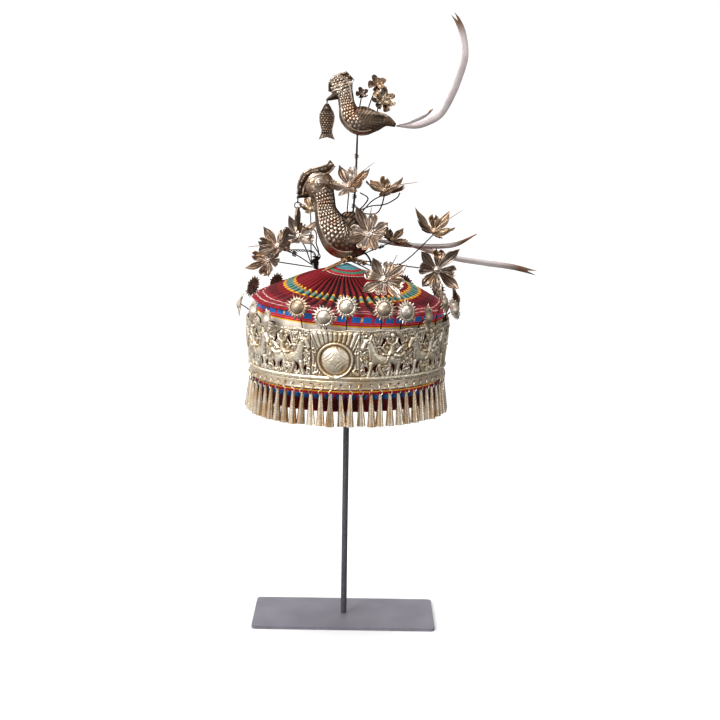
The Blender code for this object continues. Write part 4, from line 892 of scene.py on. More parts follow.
def medallion_relief(x, y):
    up = y - MEDALLION_Y
    away = np.hypot(x, up)
    height = through(away, *zip(*RING_HEIGHTS))
    # A diamond with curved-in sides, engraved with three lines, and small beads on the rim
    star = (np.abs(x) ** STAR_POWER + np.abs(up) ** STAR_POWER) ** (1 / STAR_POWER)
    for size in (17.5, 12.0, 7.0):
        height = height - 0.42 * bell(star - size, 0.8) * (away < DOME_EDGE)
    height = height + 0.25 * np.cos(60 * np.arctan2(x, up)) * bell(away - 15.2, 0.7)
    fan_turn = np.degrees(np.arctan2(x, y - FAN_CENTRE))
    flute = np.abs(np.cos(np.pi * fan_turn / (2 * FAN_HALF / FAN_FLUTES)))
    in_fan = 1 - ease(FAN_HALF - 0.5, FAN_HALF, np.abs(fan_turn))
    in_fan = in_fan * ease(17.2, 18.4, away) * ease(24, 27, y)
    height = height + 2.2 * flute ** 0.7 * in_fan * (1 - ease(43.6, 45.2, y))
    # The ground beside it is ribbed, with a column of beads at each edge
    ribs = np.cos(np.pi * (np.abs(x) - away * 0.35) / 1.9) ** 2 * (away > 18.5) * (1 - in_fan)
    height = np.maximum(height, 0.6 * ribs * (y > 5))
    for side in (-1, 1):
        beads = dome(np.hypot(x - side * 19.8, (y % 1.9) - 0.95), 0.8)
        height = np.maximum(height, 0.9 * beads * (y > 31) * (y < 45))
    height = np.maximum(height, stroke_relief(x, y, MEDALLION_STROKES)[0])
    height = np.maximum(height, curl_relief(x, y, MEDALLION_CURLS))
    return height - 1.2 * np.exp(-(np.hypot(x, (y - 3.4) * 1.4) / 1.6) ** 4)


def border_relief(y, turn):
    """Two beads at the foot and one at the top, and the slow bends of beaten sheet."""
    beads = 1.7 * dome(y - 2.4, 1.2) + 0.5 * dome(y - 0.6, 0.6)
    top = 0.6 * dome(y - BAND_HEIGHT / MM + 0.8, 0.9)
    bends = 0.35 * np.sin(7 * turn + 0.6) * np.sin(y / 11) + 0.2 * np.sin(19 * turn + y / 6)
    return beads + top + bends * ease(3, 8, y)


print("medallion peak:", medallion_relief(np.array(0.0), np.array(MEDALLION_Y)).round(2), "mm")

# %% [markdown]
# ## Building the band
#
# The relief becomes a grid bent round the hat. Grid points near a cut slide onto its edge before
# the cells inside it are removed, so the openings have smooth outlines without a finer grid. The
# sheet gets its thickness at the end from a Solidify modifier, because only that finds the rims
# of all the cuts by itself.

# %% Band grid
CELLS = 78
SHEET = 0.6 * MM
ROWS = np.linspace(0, BAND_HEIGHT / MM, CELLS + 1)
SLOT_WIDE = SLOT_WIDTH / MM
CELL_WIDE = SLOT_WIDE / CELLS


def slide_to_cuts(x, y):
    """Moves points that are close to a cut onto its edge."""
    step = 0.05
    for _ in range(2):
        away = gap_distance(x, y)
        across = (gap_distance(x + step, y) - away) / step
        upward = (gap_distance(x, y + step) - away) / step
        steep = np.maximum(across ** 2 + upward ** 2, 0.05)
        near = np.abs(away) / np.sqrt(steep) < 0.5 * CELL_WIDE
        x = np.where(near, x - away * across / steep, x)
        y = np.where(near, y - away * upward / steep, y)
    return x, y


def cells_outside(inside):
    """The cells of a grid that don't have all four corners inside a cut."""
    return ~(inside[:-1, :-1] & inside[1:, :-1] & inside[:-1, 1:] & inside[1:, 1:])


def slot_cells(slot):
    """Places, relief and kept cells of one slot; the medallion is slot 0."""
    y, x = np.meshgrid(ROWS, np.linspace(-0.5, 0.5, CELLS + 1) * SLOT_WIDE, indexing="ij")
    if slot == 0:
        return x, y, medallion_relief(x, y), np.ones((CELLS, CELLS), bool)
    facing = 1 if slot <= SLOTS // 2 else -1
    own_x, y = slide_to_cuts(x * facing, y)
    kept = cells_outside(gap_distance(own_x, y) < 0.12)
    return own_x * facing, y, rider_relief(own_x, y), kept


def finish_sheet(name, heap, replaces=()):
    """Joins the stretches of a pierced sheet and gives it its thickness."""
    piece = finish_piece(name, heap, (METAL["band_silver"],), replaces, 180)
    piece.modifiers.new("weld", "WELD").merge_threshold = 0.01 * MM
    solid = piece.modifiers.new("sheet", "SOLIDIFY")
    solid.thickness = SHEET
    solid.offset = -1


def add_band(name, slots):
    heap = Heap()
    for slot in slots:
        x, y, relief, kept = slot_cells(slot % SLOTS)
        turn = np.radians(MEDALLION_ANGLE + 360 * slot / SLOTS) + 2 * np.pi * x / SLOT_WIDE / SLOTS
        if slot % SLOTS == 0:
            relief = relief * ease(0, 2.5, SLOT_WIDE / 2 - np.abs(x))
        height = relief + border_relief(y, turn)
        wave = 0.35 * np.sin(23 * turn) + 0.25 * np.sin(41 * turn + 1)
        z = BAND_FOOT + (y + wave * ease(36, 47, y)) * MM
        radius = STRIP_RADIUS + BAND_FLARE * y * MM / BAND_HEIGHT
        points = around(np.degrees(turn), radius + (height - 0.1) * MM, z)
        faces = grid_faces(CELLS + 1, CELLS + 1, 0, False)[kept.ravel()]
        # A point is hollow where it is low, and lower than the ground round it
        nearby = [np.roll(height, (i, j), (0, 1)) for i in (-2, 0, 2) for j in (-2, 0, 2)]
        hollow = np.clip(0.50 - height * 0.30 + (sum(nearby) / 9 - height) * 2.8, 0, 1)
        hollow = hollow * (1 - 0.8 * (y < 3.6)) * (1 - 0.7 * (y > 44.5))
        heap.add((points.reshape(-1, 3), faces), hollow.ravel(), 1.0)
    finish_sheet(name, heap, ("band",))


add_band("band_front", range(-3, 4))
add_band("band_back", range(4, 10))

# %% [markdown]
# ## The fringe
#
# Sixty-four cones hang below the band, each rolled from a slip of silver so that one edge laps
# over the other, and each on a bent wire through a hole in the plain strip. They could all be
# copies of one cone, but on the hat no two hang alike. So a loop rolls each one afresh, with a
# little chance in its length, lean and turn. The numbers come from a fixed seed, so every run
# gives the same fringe.

# %% Strip with holes
CONES = 64
PER_CONE = 8
STRIP_ROWS = 11
HOLE = 0.9
HOLE_UP = 4.4


def add_strip(name, start):
    """Half of the plain strip, with a round hole over each cone."""
    heap = Heap()
    rows = np.linspace(0, STRIP_HEIGHT / MM, STRIP_ROWS)
    columns = np.linspace(-0.5, 0.5, PER_CONE + 1) * 2 * np.pi * STRIP_RADIUS / CONES / MM
    y, x = np.meshgrid(rows, columns, indexing="ij")
    away = np.hypot(x, y - HOLE_UP)
    # Points near a hole's edge move onto it
    scale = np.where(np.abs(away - HOLE) < 0.4, HOLE / np.maximum(away, 0.1), 1)
    x, y = x * scale, HOLE_UP + (y - HOLE_UP) * scale
    away = np.hypot(x, y - HOLE_UP)
    faces = grid_faces(*x.shape, 0, False)[cells_outside(away < HOLE + 0.05).ravel()]
    dirt = np.clip(0.7 - (away - HOLE), 0.1, 0.9).ravel()
    radius = STRIP_RADIUS + 0.35 * MM * dome(y - 0.4, 0.6)
    for cone in range(CONES // 2):
        angle = start + (cone + 0.5) * 360 / CONES + np.degrees(x * MM / STRIP_RADIUS)
        points = around(angle, radius, STRIP_FOOT + y * MM)
        heap.add((points.reshape(-1, 3), faces), dirt, 0.75)
    finish_sheet(name, heap)


# %% Rolled cones and their wires
CONE_LENGTH = 29.0 * MM
CONE_NECK = 1.5 * MM
CONE_MOUTH = 3.8 * MM
CONE_TOP = STRIP_FOOT - 4.5 * MM
LAPPED = 2 * np.pi * 1.07
chance = np.random.default_rng(11)


def rolled_cone(top, axis, side, length, lap):
    """One slip of silver rolled into a cone; its edges lap by a small angle."""
    t = np.linspace(0, 1, 7)[:, None]
    rolled = np.linspace(0, LAPPED, 23)[None]
    turn = (rolled + lap)[..., None]
    spiral = 0.32 * MM * rolled / (2 * np.pi) * (0.4 + 0.6 * t)
    facets = 0.10 * MM * np.cos(5 * rolled + 6 * lap) * t
    radius = CONE_NECK + (CONE_MOUTH - CONE_NECK) * t ** 0.92 + spiral + facets + 0.12 * MM * ease(0.9, 1, t)
    spoke = np.cos(turn) * side + np.sin(turn) * np.cross(side, axis)
    outer, inner = (top + (t * length)[..., None] * axis + reach[..., None] * spoke
                    for reach in (radius, radius - 0.3 * MM))
    seam = np.exp(-np.minimum(rolled, LAPPED - rolled) * 9)
    return marked_sheet(outer, inner, seam, 0.9)


# Each hook is an S in the plane of the strip: sideways, above the strip's foot and outside the
# strip, in millimetres
HOOK = ((0.0, 4.6, -0.6), (1.5, 3.9, 1.2), (2.1, 2.0, 1.6), (1.2, 0.2, 1.5), (-0.6, -0.9, 1.4),
        (-1.9, -2.4, 1.4), (-1.2, -4.2, 1.2), (0.5, -4.6, 0.8), (1.0, -3.6, 0.2))
HOOK_WIRE = 0.50 * MM


def add_cones(name, start, solid):
    cones, hooks = Heap(), Heap()
    for cone in range(CONES // 2):
        angle = start + (cone + 0.5) * 360 / CONES
        sway = chance.normal(0, 0.026)
        out_lean = 0.045 + chance.normal(0, 0.016)
        outward = around(angle, 1.0, 0.0)
        along = around(angle + 90, 1.0, 0.0)
        axis = unit(np.array((0.0, 0.0, -1.0)) + outward * out_lean + along * sway)
        side = unit(np.cross(axis, outward))
        top = around(angle, STRIP_RADIUS - 0.4 * MM, CONE_TOP) + along * chance.normal(0, 0.25 * MM)
        length = CONE_LENGTH * (1 + chance.normal(0, 0.012))
        body, hollow = rolled_cone(top, axis, side, length, chance.uniform(0, 2 * np.pi))
        cones.add(body, hollow, chance.uniform(0.7, 1.0))
        lean = chance.choice((-1, 1)) * chance.uniform(0.75, 1.1)
        route = [around(angle, STRIP_RADIUS + out * MM, STRIP_FOOT + up * MM) + along * (lean * x * MM)
                 for x, up, out in HOOK]
        hooks.add(tube(smooth_route(route, 30), HOOK_WIRE, 6), 0.15 + 0.5 * (cone % 3 == 0), 1.0)
    finish_piece(name, cones, (METAL["cone_silver"],), (solid,), 40)
    finish_piece(name + "_links", hooks, (METAL["band_silver"],), (), 60)


for half, start in (("front", -90), ("back", 90)):
    add_strip("strip_" + half, start)
    add_cones("cones_" + half, start, "cone_fringe_" + half)

# %% [markdown]
# ## Rosettes
#
# Eighteen small suns stand round the band's top on short wires. Each is a disc of thin silver cut
# into about twenty rays, with a beaded ring and a hollow dome. A disc could be cut with a
# Boolean, but its rays are so many that it is simpler to let the disc's edge follow them: the
# grid's outer ring moves in and out with each ray, and bumps on an inner ring make the beads.

# %% Places of the rosettes
# Angle, height above the band's top and distance outside it as shares of the radius, turn, nod
ROSETTE_COLUMNS = ("angle", "up", "out", "turn", "nod")
ROSETTES = (
    (-58, 0.85, 0.45, -6, 8), (-44, 0.42, 0.62, -24, 2), (-25, 1.72, 0.62, 8, 12),
    (-11, 1.08, 0.72, 4, 2), (0, 1.90, 0.62, 0, 14), (19, 1.70, 0.50, -8, 14), (31, 1.42, 0.62, 2, 8),
    (44, 0.88, 0.78, 24, 2), (60, 1.90, 0.50, 10, 16), (73, 1.05, 0.70, -10, 20),
    (92, 1.50, 0.62, 10, 12), (-94, 0.75, 0.62, 8, 10), (-112, 1.95, 0.45, -10, 14),
    (-134, 1.95, 0.50, 6, 14), (-158, 1.90, 0.45, -8, 12), (172, 1.70, 0.50, 8, 10),
    (146, 1.90, 0.50, -6, 14), (120, 1.85, 0.50, 8, 12),
)
ROSETTE_RADIUS = 11.6 * MM
RAYS = 20
WIRE = 0.40 * MM


def facing_frame(facing, turn):
    """Side, up and facing directions of a flower or rosette."""
    facing = unit(np.asarray(facing, float))
    side = unit(np.cross((0.0, 0.0, 1.0), facing))
    rise = np.cross(facing, side)
    angle = math.radians(turn)
    turned = side * math.cos(angle) + rise * math.sin(angle)
    return turned, rise * math.cos(angle) - side * math.sin(angle), facing


def on_frame(centre, frame_axes, along, up, out):
    side, rise, facing = frame_axes
    return centre + along[..., None] * side + up[..., None] * rise + out[..., None] * facing


print("rosettes:", len(ROSETTES))

# %% Rosette shape
# Share of the radius and height there, from the middle to the rays' tips
ROSETTE_PROFILE = ((0.015, 0.37), (0.10, 0.36), (0.18, 0.345), (0.26, 0.315), (0.33, 0.275), (0.40, 0.225),
                   (0.46, 0.165), (0.51, 0.115), (0.545, 0.09), (0.58, 0.12), (0.62, 0.125), (0.66, 0.085),
                   (0.72, 0.07), (0.80, 0.055), (0.90, 0.03), (1.0, 0.0))


def rosette_body(centre, axes, phase):
    turn = np.linspace(0, 2 * np.pi, RAYS * 4, endpoint=False)[None]
    share, profile = np.array(ROSETTE_PROFILE).T[:, :, None]
    ray = np.abs(2 * ((turn / (2 * np.pi) * RAYS) % 1) - 1)
    uneven = 0.05 * np.sin(3 * turn + phase) + 0.07 * np.sin(7 * turn + 2 * phase) - 0.02
    cut = ease(0.66, 1.0, share) * (0.33 * (1 - ray) - uneven * ray)
    reach = share * (1 - cut) * ROSETTE_RADIUS
    bead = 0.03 * bell(share - 0.60, 0.03) * np.cos(turn * RAYS)
    curl = 0.07 * ease(0.7, 1, share) * np.sin(5 * turn + phase) * ray
    along, up = reach * np.cos(turn), reach * np.sin(turn)
    # Every third dome is cross hatched, the others are plain
    hatch = 0.018 * np.cos(along / MM * 3.2) * np.cos(up / MM * 3.2) * (share < 0.5) * (phase % 3 == 1)
    height = (profile + bead + curl + hatch + 0.02 * ray * (share > 0.7)) * ROSETTE_RADIUS
    hollow = 0.16 + 0.60 * bell(share - 0.535, 0.035) + 0.55 * (1 - ray) * ease(0.66, 0.8, share)
    front, back = (on_frame(centre, axes, along, up, face) for face in (height, height - 0.4 * MM))
    return marked_sheet(front, back, np.clip(hollow - 4 * hatch, 0, 1), 0.85, closed=True)


for index, row in enumerate(records(ROSETTE_COLUMNS, ROSETTES)):
    rim = STRIP_RADIUS + BAND_FLARE
    centre = around(row["angle"], rim + row["out"] * ROSETTE_RADIUS, band_top + row["up"] * ROSETTE_RADIUS)
    turn, nod = math.radians(row["angle"] + row["turn"]), math.radians(row["nod"])
    facing = np.array((math.sin(turn) * math.cos(nod), -math.cos(turn) * math.cos(nod), math.sin(nod)))
    heap = Heap()
    body, hollow = rosette_body(centre, facing_frame(facing, 13 * index), index)
    heap.add(body, hollow, 0.80 + 0.20 * math.sin(2.3 * index))
    seat, bend = (around(row["angle"], rim - 2.0 * MM, band_top + up * MM) for up in (-3.0, 1.8))
    route = [seat, bend, centre * 0.5 + bend * 0.5 - facing * 1.5 * MM, centre - facing * 0.2 * MM]
    heap.add_all(twisted(smooth_route(route, 12), WIRE), 0.6, 0.4, 1)
    number = f"{index + 1:02d}"
    finish_piece("sun_" + number, heap, (METAL["sun_silver"], METAL["dark_wire"]),
                 ("rosette_" + number,), 45)

# %% [markdown]
# ## Flowers on wires
#
# Each flower is cut from one sheet into eight petals, four pointed and four with a notch like a
# heart. Every petal has a raised rim, a dished middle and an engraved vein, and a small beaded
# button sits in the centre. A petal could be a flat outline with a bump map. Here it is a small
# grid instead, because the light catches the raised rims and shows them from far away.

# %% Places of the flowers
CROWN_TOP = CROWN_EDGE + CROWN_RISE
LOWER_BIRD = 92 * MM
FLOWER_RADIUS = 23 * MM
# Place as shares of the crown's radius (x, y) and of the lower bird's height above the crown (z),
# facing, size, cup, turn, the solid that holds the wire, where on it, lift of the wire, tint, and
# whether it is silver, 0, or gilt brown, 2
FLOWER_COLUMNS = ("x", "y", "z", "face", "size", "cup", "turn", "holder", "seat", "lift", "tint", "metal")
FLOWERS = (
    (0.355, -0.765, -0.085, (0.10, -0.85, 0.45), 1.00, 0.25, 8, "apex_knot", 0.30, 0.02, 0.95, 0),
    (0.890, -0.210, -0.040, (0.25, -0.95, 0.10), 1.05, 0.25, 20, "apex_knot", 0.40, 0.00, 0.60, 0),
    (0.863, -0.050, 0.345, (0.15, -0.45, 0.90), 1.00, 0.55, 12, "apex_knot", 0.22, -0.20, 0.50, 2),
    (0.353, 0.053, 0.745, (0.10, -0.25, 0.95), 1.00, 0.40, 0, "bird_lower", 0.15, 0.04, 0.40, 2),
    (-0.010, -0.150, 0.800, (-0.20, -0.60, 0.75), 0.92, 0.45, 15, "bird_lower", 0.03, 0.02, 0.60, 0),
    (0.200, -0.300, 0.322, (-0.25, -0.85, 0.50), 1.00, 0.40, 10, "apex_knot", 0.62, 0.04, 0.70, 0),
    (0.440, -0.060, 0.250, (0.45, -0.40, 0.80), 0.78, 0.45, 0, "apex_knot", 0.85, 0.00, 0.20, 2),
    (-0.516, 0.234, 0.249, (0.10, -0.70, 0.65), 0.82, 0.45, 5, "left_coil", 0.72, 0.04, 0.70, 0),
    (-0.720, -0.106, 0.170, (-0.45, -0.65, 0.60), 0.92, 0.40, 25, "left_coil", 0.50, 0.02, 0.30, 0),
    (-0.828, 0.149, -0.002, (-0.45, -0.80, 0.25), 0.85, 0.40, 10, "left_coil", 0.26, 0.00, 0.45, 0),
    (-0.400, 0.280, 0.535, (0.05, -0.50, 0.85), 0.62, 0.50, 0, "left_coil", 0.94, 0.04, 0.70, 2),
)
PETAL_COUNT = 8
PETAL_ROWS = np.linspace(0, 1, 15)
# Where a wire is wound round itself, as a share of the way from its seat
WIRE_COILS = {2: 0.55, 3: 0.47, 4: 0.30, 6: 0.45, 7: 0.60, 9: 0.55, 10: 0.70}
# Long stamens of a few flowers: how far their tips lie from the middle, in millimetres
STAMENS = {1: (11, -4, 23), 3: (26, 0, 20), 4: (32, -4, 9), 5: (24, 0, 22), 6: (2, -2, 25), 9: (-27, -4, -1)}
print("flowers:", len(FLOWERS))

# %% Petals
HUB = 0.15
# Half width of a petal from its root to its tip, as shares of the flower's radius
POINTED = ((0.0, 0.07), (0.2, 0.125), (0.45, 0.200), (0.62, 0.215), (0.80, 0.140), (0.92, 0.055),
           (1.0, 0.004))
BLUNT = ((0.0, 0.07), (0.2, 0.120), (0.45, 0.185), (0.70, 0.235), (0.86, 0.215), (0.95, 0.140), (1.0, 0.070))
ROUND = ((0.0, 0.08), (0.2, 0.130), (0.45, 0.190), (0.70, 0.225), (0.86, 0.200), (0.95, 0.130), (1.0, 0.030))
# Each shape with the depth of the notch at its tip and how far it reaches
PETAL_SHAPES = {"pointed": (POINTED, 0.0, 1.02), "blunt": (BLUNT, 0.13, 0.82), "round": (ROUND, 0.0, 0.92)}


def petal_body(centre, axes, radius, middle, shape, reach_share, cup, curl, twist, broad):
    t = PETAL_ROWS[:, None]
    across = np.linspace(-1, 1, len(PETAL_ROWS))[None]
    outline, depth, _ = PETAL_SHAPES[shape]
    side = across * through(t, *zip(*outline)) * radius * broad
    notch = depth * (1 - np.abs(across)) * ease(0.55, 1, t)
    reach = (HUB + (reach_share - HUB) * t - notch) * radius
    rim = bell(np.abs(across) - 0.84, 0.13) + bell(0.97 - t, 0.05) * 0.8
    inner = bell(np.abs(across) - 0.42, 0.10) * ease(0.15, 0.3, t) * (1 - ease(0.72, 0.85, t))
    vein = bell(across, 0.12) * (1 - ease(0.70, 0.85, t))
    lift = cup * radius * (reach / radius) ** 2 + curl * radius * ease(0.35, 1, t) ** 1.5 + twist * side * t
    dish = -0.030 * radius * (1 - across ** 2) * np.sin(np.pi * t)
    height = lift + dish + 0.034 * radius * rim * ease(0, 0.2, t) + 0.020 * radius * (inner - vein)
    along = reach * math.cos(middle) - side * math.sin(middle)
    up = reach * math.sin(middle) + side * math.cos(middle)
    front, back = (on_frame(centre, axes, along, up, face) for face in (height, height - 0.35 * MM))
    groove = bell(np.abs(across) - 0.60, 0.10) + bell(0.90 - t, 0.025)
    hollow = np.clip(0.55 - 1.0 * rim - 0.35 * inner + 0.3 * vein + 0.6 * groove, 0, 1)
    return marked_sheet(front, back, hollow, 0.55)


# The button's profile: shares of its radius and of its height
BUTTON_PROFILE = ((0.05, 1.0), (0.4, 0.85), (0.62, 0.55), (0.72, 0.62), (0.85, 0.5), (1.0, 0.1))


def button_body(centre, axes, radius):
    """A beaded button: a low dome with a ring of grains."""
    turn = np.linspace(0, 2 * np.pi, 36, endpoint=False)[None]
    share, height = np.array(BUTTON_PROFILE).T[:, :, None]
    height = (height + 0.14 * bell(share - 0.78, 0.1) * np.cos(9 * turn)) * radius * 0.75
    along, up = share * radius * np.cos(turn), share * radius * np.sin(turn)
    foot = np.full_like(along, -0.4 * MM)
    front, back = (on_frame(centre, axes, along, up, face) for face in (height, foot))
    return sheet_body(front, back, closed=True)


def add_petals(heap, place, petals, cup, tint, seed, finish, shapes=("pointed", "blunt"), bend=0.16):
    """A ring of petals round a button; place is its middle, its directions and its radius."""
    sector = 2 * math.pi / petals
    broad = (PETAL_COUNT / petals) ** 0.9
    for index in range(petals):
        middle = sector * (index + 0.5) + 0.06 * math.sin(3.3 * index + seed)
        shape = shapes[index % len(shapes)]
        pointed = shape == "pointed"
        reach_share = PETAL_SHAPES[shape][2] + pointed * 0.12 * math.sin(5.3 * index + 2.1 * seed)
        curl = bend * math.sin(4.1 * index + seed) - (0.02 if pointed else 0.06)
        twist = 0.5 * math.sin(2.9 * index + 1.7 * seed)
        body, hollow = petal_body(*place, middle, shape, reach_share, cup, curl, twist, broad)
        shade = np.clip(tint + 0.28 * math.sin(2.7 * index + 1.3 * seed), 0, 1)
        heap.add(body, hollow, shade, finish)
    centre, axes, radius = place
    heap.add(button_body(centre, axes, HUB * 1.1 * radius), 0.0, min(1.0, tint + 0.3), finish)


# %% Wires and their seats
UP = np.array((0.0, 0.0, 1.0))


def box_of(node):
    """The lowest and the highest corner of a solid's box."""
    return [np.array(corner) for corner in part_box(node)]


def solid_hit(node, start, direction):
    """Where a ray first meets a solid."""
    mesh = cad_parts[node].data
    corners = [corner.co for corner in mesh.vertices]
    tree = BVHTree.FromPolygons(corners, [tuple(face.vertices) for face in mesh.polygons])
    place = tree.ray_cast(Vector(start), Vector(direction))[0]
    return np.asarray(start, float) if place is None else np.array(place)


def holder_seat(holder, centre, level):
    """Where a wire ends at the knot, the coil or the bird's back that holds it."""
    low, high = box_of(holder)
    if holder == "bird_lower":
        back = box_of("apex_knot")[0][0] + 6 * MM + (level - 0.04) * LOWER_BIRD
        seat = solid_hit(holder, (back, 0, high[2]), -UP)
        return seat, seat + UP * 3 * MM
    base = (low + high) / 2
    direction = unit((centre - base) * (1, 1, 0))
    seat = base + direction * (high[0] - low[0]) / 2
    seat[2] = low[2] + (high[2] - low[2]) * level
    return seat, seat + direction * 3 * MM


BLOOM_METALS = (METAL["flower_silver"], METAL["dark_wire"], METAL["flower_brown"])


def wire_coil(route, share, turns=3.0, length=5.0 * MM, radius=1.7 * MM):
    """A few open turns of thin wire round another wire."""
    middle = int(share * (len(route) - 1))
    axis = unit(route[middle + 1] - route[middle])
    side = unit(np.cross(axis, (0.0, 1.0, 0.2)))
    place = np.linspace(-0.5, 0.5, 40)[:, None]
    angle = 2 * np.pi * turns * place
    reach = radius * (1 + 0.3 * np.sin(2 * angle))
    round_it = reach * (np.cos(angle) * side + np.sin(angle) * np.cross(axis, side))
    return tube(route[middle] + axis * length * place + round_it, 0.45 * MM)


def flower_wire(seat, out, centre, facing, lift):
    behind = centre - facing * 3.6 * MM
    halfway = (out + behind) / 2 + UP * lift
    return smooth_route([seat, out, halfway, behind, centre - facing * 0.4 * MM], 26)


for number, row in enumerate(records(FLOWER_COLUMNS, FLOWERS), 1):
    centre = np.array((row["x"] * CROWN_RADIUS, row["y"] * CROWN_RADIUS, CROWN_TOP + row["z"] * LOWER_BIRD))
    facing = unit(np.array(row["face"]))
    heap = Heap()
    place = (centre, facing_frame(facing, row["turn"]), FLOWER_RADIUS * row["size"])
    add_petals(heap, place, PETAL_COUNT, row["cup"], row["tint"], number - 1, row["metal"])
    seat, out = holder_seat(row["holder"], centre, row["seat"])
    route = flower_wire(seat, out, centre, facing, row["lift"] * CROWN_RADIUS)
    heap.add_all(twisted(route, WIRE), 0.6, 0.4, 1)
    if number in WIRE_COILS:
        heap.add(wire_coil(route, WIRE_COILS[number]), 0.3, 0.5, 1)
    if number in STAMENS:
        tip = centre + np.array(STAMENS[number]) * MM
        stamen = smooth_route([centre, centre * 0.6 + tip * 0.4 + facing * 2 * MM, tip], 12)
        heap.add(tube(stamen, np.linspace(0.8, 0.35, 12) * MM, 6), 0.3, 0.6)
    finish_piece(f"bloom_{number:02d}", heap, BLOOM_METALS, (f"flower_{number:02d}",), 45)

# %% [markdown]
# ## Birds
#
# The two birds are hollow, each beaten from two halves of gilt sheet and soldered edge to edge.
# A bird could be sculpted, but its body is really a tube that swells and narrows, so it is swept
# through a few oval sections from tail to head. Scales, rows of grains and a smooth seam along
# the breast are added as small heights, worked out from how far along and how far round the body
# each point is.

# %% Bird bodies
# Place along and up, half height and half width of each section, as shares of the bird's height
LOWER_SECTIONS = (
    (0.345, 0.175, 0.020, 0.050), (0.265, 0.225, 0.110, 0.100), (0.130, 0.208, 0.190, 0.138),
    (-0.010, 0.218, 0.222, 0.150), (-0.125, 0.330, 0.165, 0.140), (-0.185, 0.470, 0.112, 0.100),
    (-0.205, 0.600, 0.105, 0.080), (-0.265, 0.745, 0.150, 0.092), (-0.310, 0.850, 0.100, 0.070),
    (-0.325, 0.900, 0.030, 0.030),
)
UPPER_SECTIONS = (
    (0.600, 0.168, 0.020, 0.040), (0.440, 0.240, 0.090, 0.095), (0.250, 0.230, 0.165, 0.140),
    (0.050, 0.215, 0.205, 0.158), (-0.110, 0.305, 0.178, 0.142), (-0.175, 0.475, 0.125, 0.108),
    (-0.205, 0.620, 0.125, 0.100), (-0.265, 0.760, 0.165, 0.100), (-0.300, 0.880, 0.115, 0.075),
    (-0.310, 0.940, 0.040, 0.035),
)
UPPER_BIRD = 59.6 * MM
# How far round from the underside the plain rim of the breast reaches, in radians
RIM_TURN = 0.82
SIDEWAYS = np.array((0.0, 1.0, 0.0))


def bird_surface(origin, height, sections, rings, sides):
    """Grid of points over the body, with shares along it, round it and its outward directions."""
    along, up, tall, wide = smooth_route(sections, rings).T
    ahead = unit(np.stack([np.gradient(along), np.gradient(up)], axis=-1))
    turn = np.linspace(0, 2 * np.pi, sides, endpoint=False)[None]
    tall, wide = (np.maximum(half, 0.012)[:, None] for half in (tall, wide))
    flat = np.zeros(rings)
    across = np.stack([-ahead[:, 1], flat, ahead[:, 0]], axis=-1)
    middle = np.stack([along, flat, up], axis=-1)
    offset = across[:, None] * (tall * np.cos(turn))[..., None] + SIDEWAYS * (wide * np.sin(turn))[..., None]
    last = len(sections) - 1
    share = np.linspace(0, last, rings)[:, None] / last
    return origin + height * (middle[:, None] + offset), share, turn, unit(offset)


def grains(lane, place, steep, squash=1.0):
    """Rows of round grains, each row half a grain on from the one before."""
    cell = (place + 0.5 * (np.floor(lane) % 2)) % 1 - 0.5
    inside = ((lane % 1) - 0.5) * squash
    return np.clip(1 - (cell ** 2 + inside ** 2) * steep, 0, 1)


def bird_relief(share, turn, rows, columns, bossed):
    """Relief, dirt and tint of the scales, the breast with its plain rim, the nape and the head."""
    around_it = turn / (2 * np.pi) * columns
    scale = grains(share * rows, around_it, 4.2, 0.9) ** 0.5
    seam = np.exp(-((1 - np.abs(np.cos(turn))) / 0.05))
    head = ease(0.70, 0.75, share) + 0 * turn
    breast = ease(0.30, 0.42, share) * (1 - head)
    nape = bell(turn - np.pi, 0.55) * breast
    off_breast = np.abs((turn + np.pi) % (2 * np.pi) - np.pi)
    rim = ease(RIM_TURN + 0.06, RIM_TURN, off_breast) * ease(0.24, 0.32, share) * (1 - head)
    covered = 1 - np.clip(nape + rim + seam, 0, 1)
    grain = scale * breast * covered
    relief = scale * (0.45 + 0.55 * breast) * (1 - head) * covered + 0.5 * seam
    if bossed:
        relief = relief + 1.2 * head * grains(share * rows * 0.8, around_it * 0.7, 4.4) ** 0.5
    hollow = np.clip(0.92 - 0.95 * relief - 0.2 * grain + 0.2 * nape, 0, 1)
    if not bossed:
        hollow = hollow * (1 - head) + 0.24 * head
    hollow = hollow * (1 - rim) + 0.30 * rim
    belly = (1 - head) * (1 - breast)
    # The grains are lighter and cleaner: partly the polish of their raised tops, partly a painted highlight
    # on each bead
    tint = np.clip(0.34 + 0.6 * grain + 0.36 * head - 0.3 * nape + 0.16 * rim + 0.26 * belly, 0, 1)
    return relief, hollow - 0.18 * belly, tint


def bird_body(origin, height, sections, rows, columns, bossed):
    """The scaled body and its marks, the body without its scales, and the edges of its breast."""
    points, share, turn, outward = bird_surface(origin, height, sections, int(4.5 * rows), 4 * columns)
    relief, hollow, tint = bird_relief(share, turn, rows, columns, bossed)
    ends = points[0].mean(axis=0), points[-1].mean(axis=0)
    scaled = capped(points + outward * (relief * 0.016 * height)[..., None], *ends)
    column = round(RIM_TURN / (2 * np.pi) * points.shape[1])
    kept = slice(int(0.26 * len(points)), int(0.71 * len(points)))
    borders = [points[kept, place] for place in (column, -column)]
    return scaled, np.append(hollow, (0.5, 0.5)), np.append(tint, (0.4, 0.4)), capped(points, *ends), borders


print("bird sections:", len(LOWER_SECTIONS), len(UPPER_SECTIONS))

# %% [markdown]
# ## Heads
#
# Each head wears a broad crest that sweeps from the beak over the crown and ends in a raised
# tip. It is a thick plate between an outer and an inner outline, embossed with round bosses. The
# beak is a plate as well, thick at its root and thin at its tip. Both follow outlines in the
# bird's own upright plane.


# %% Crests and beaks
PLATE_ROWS = 30


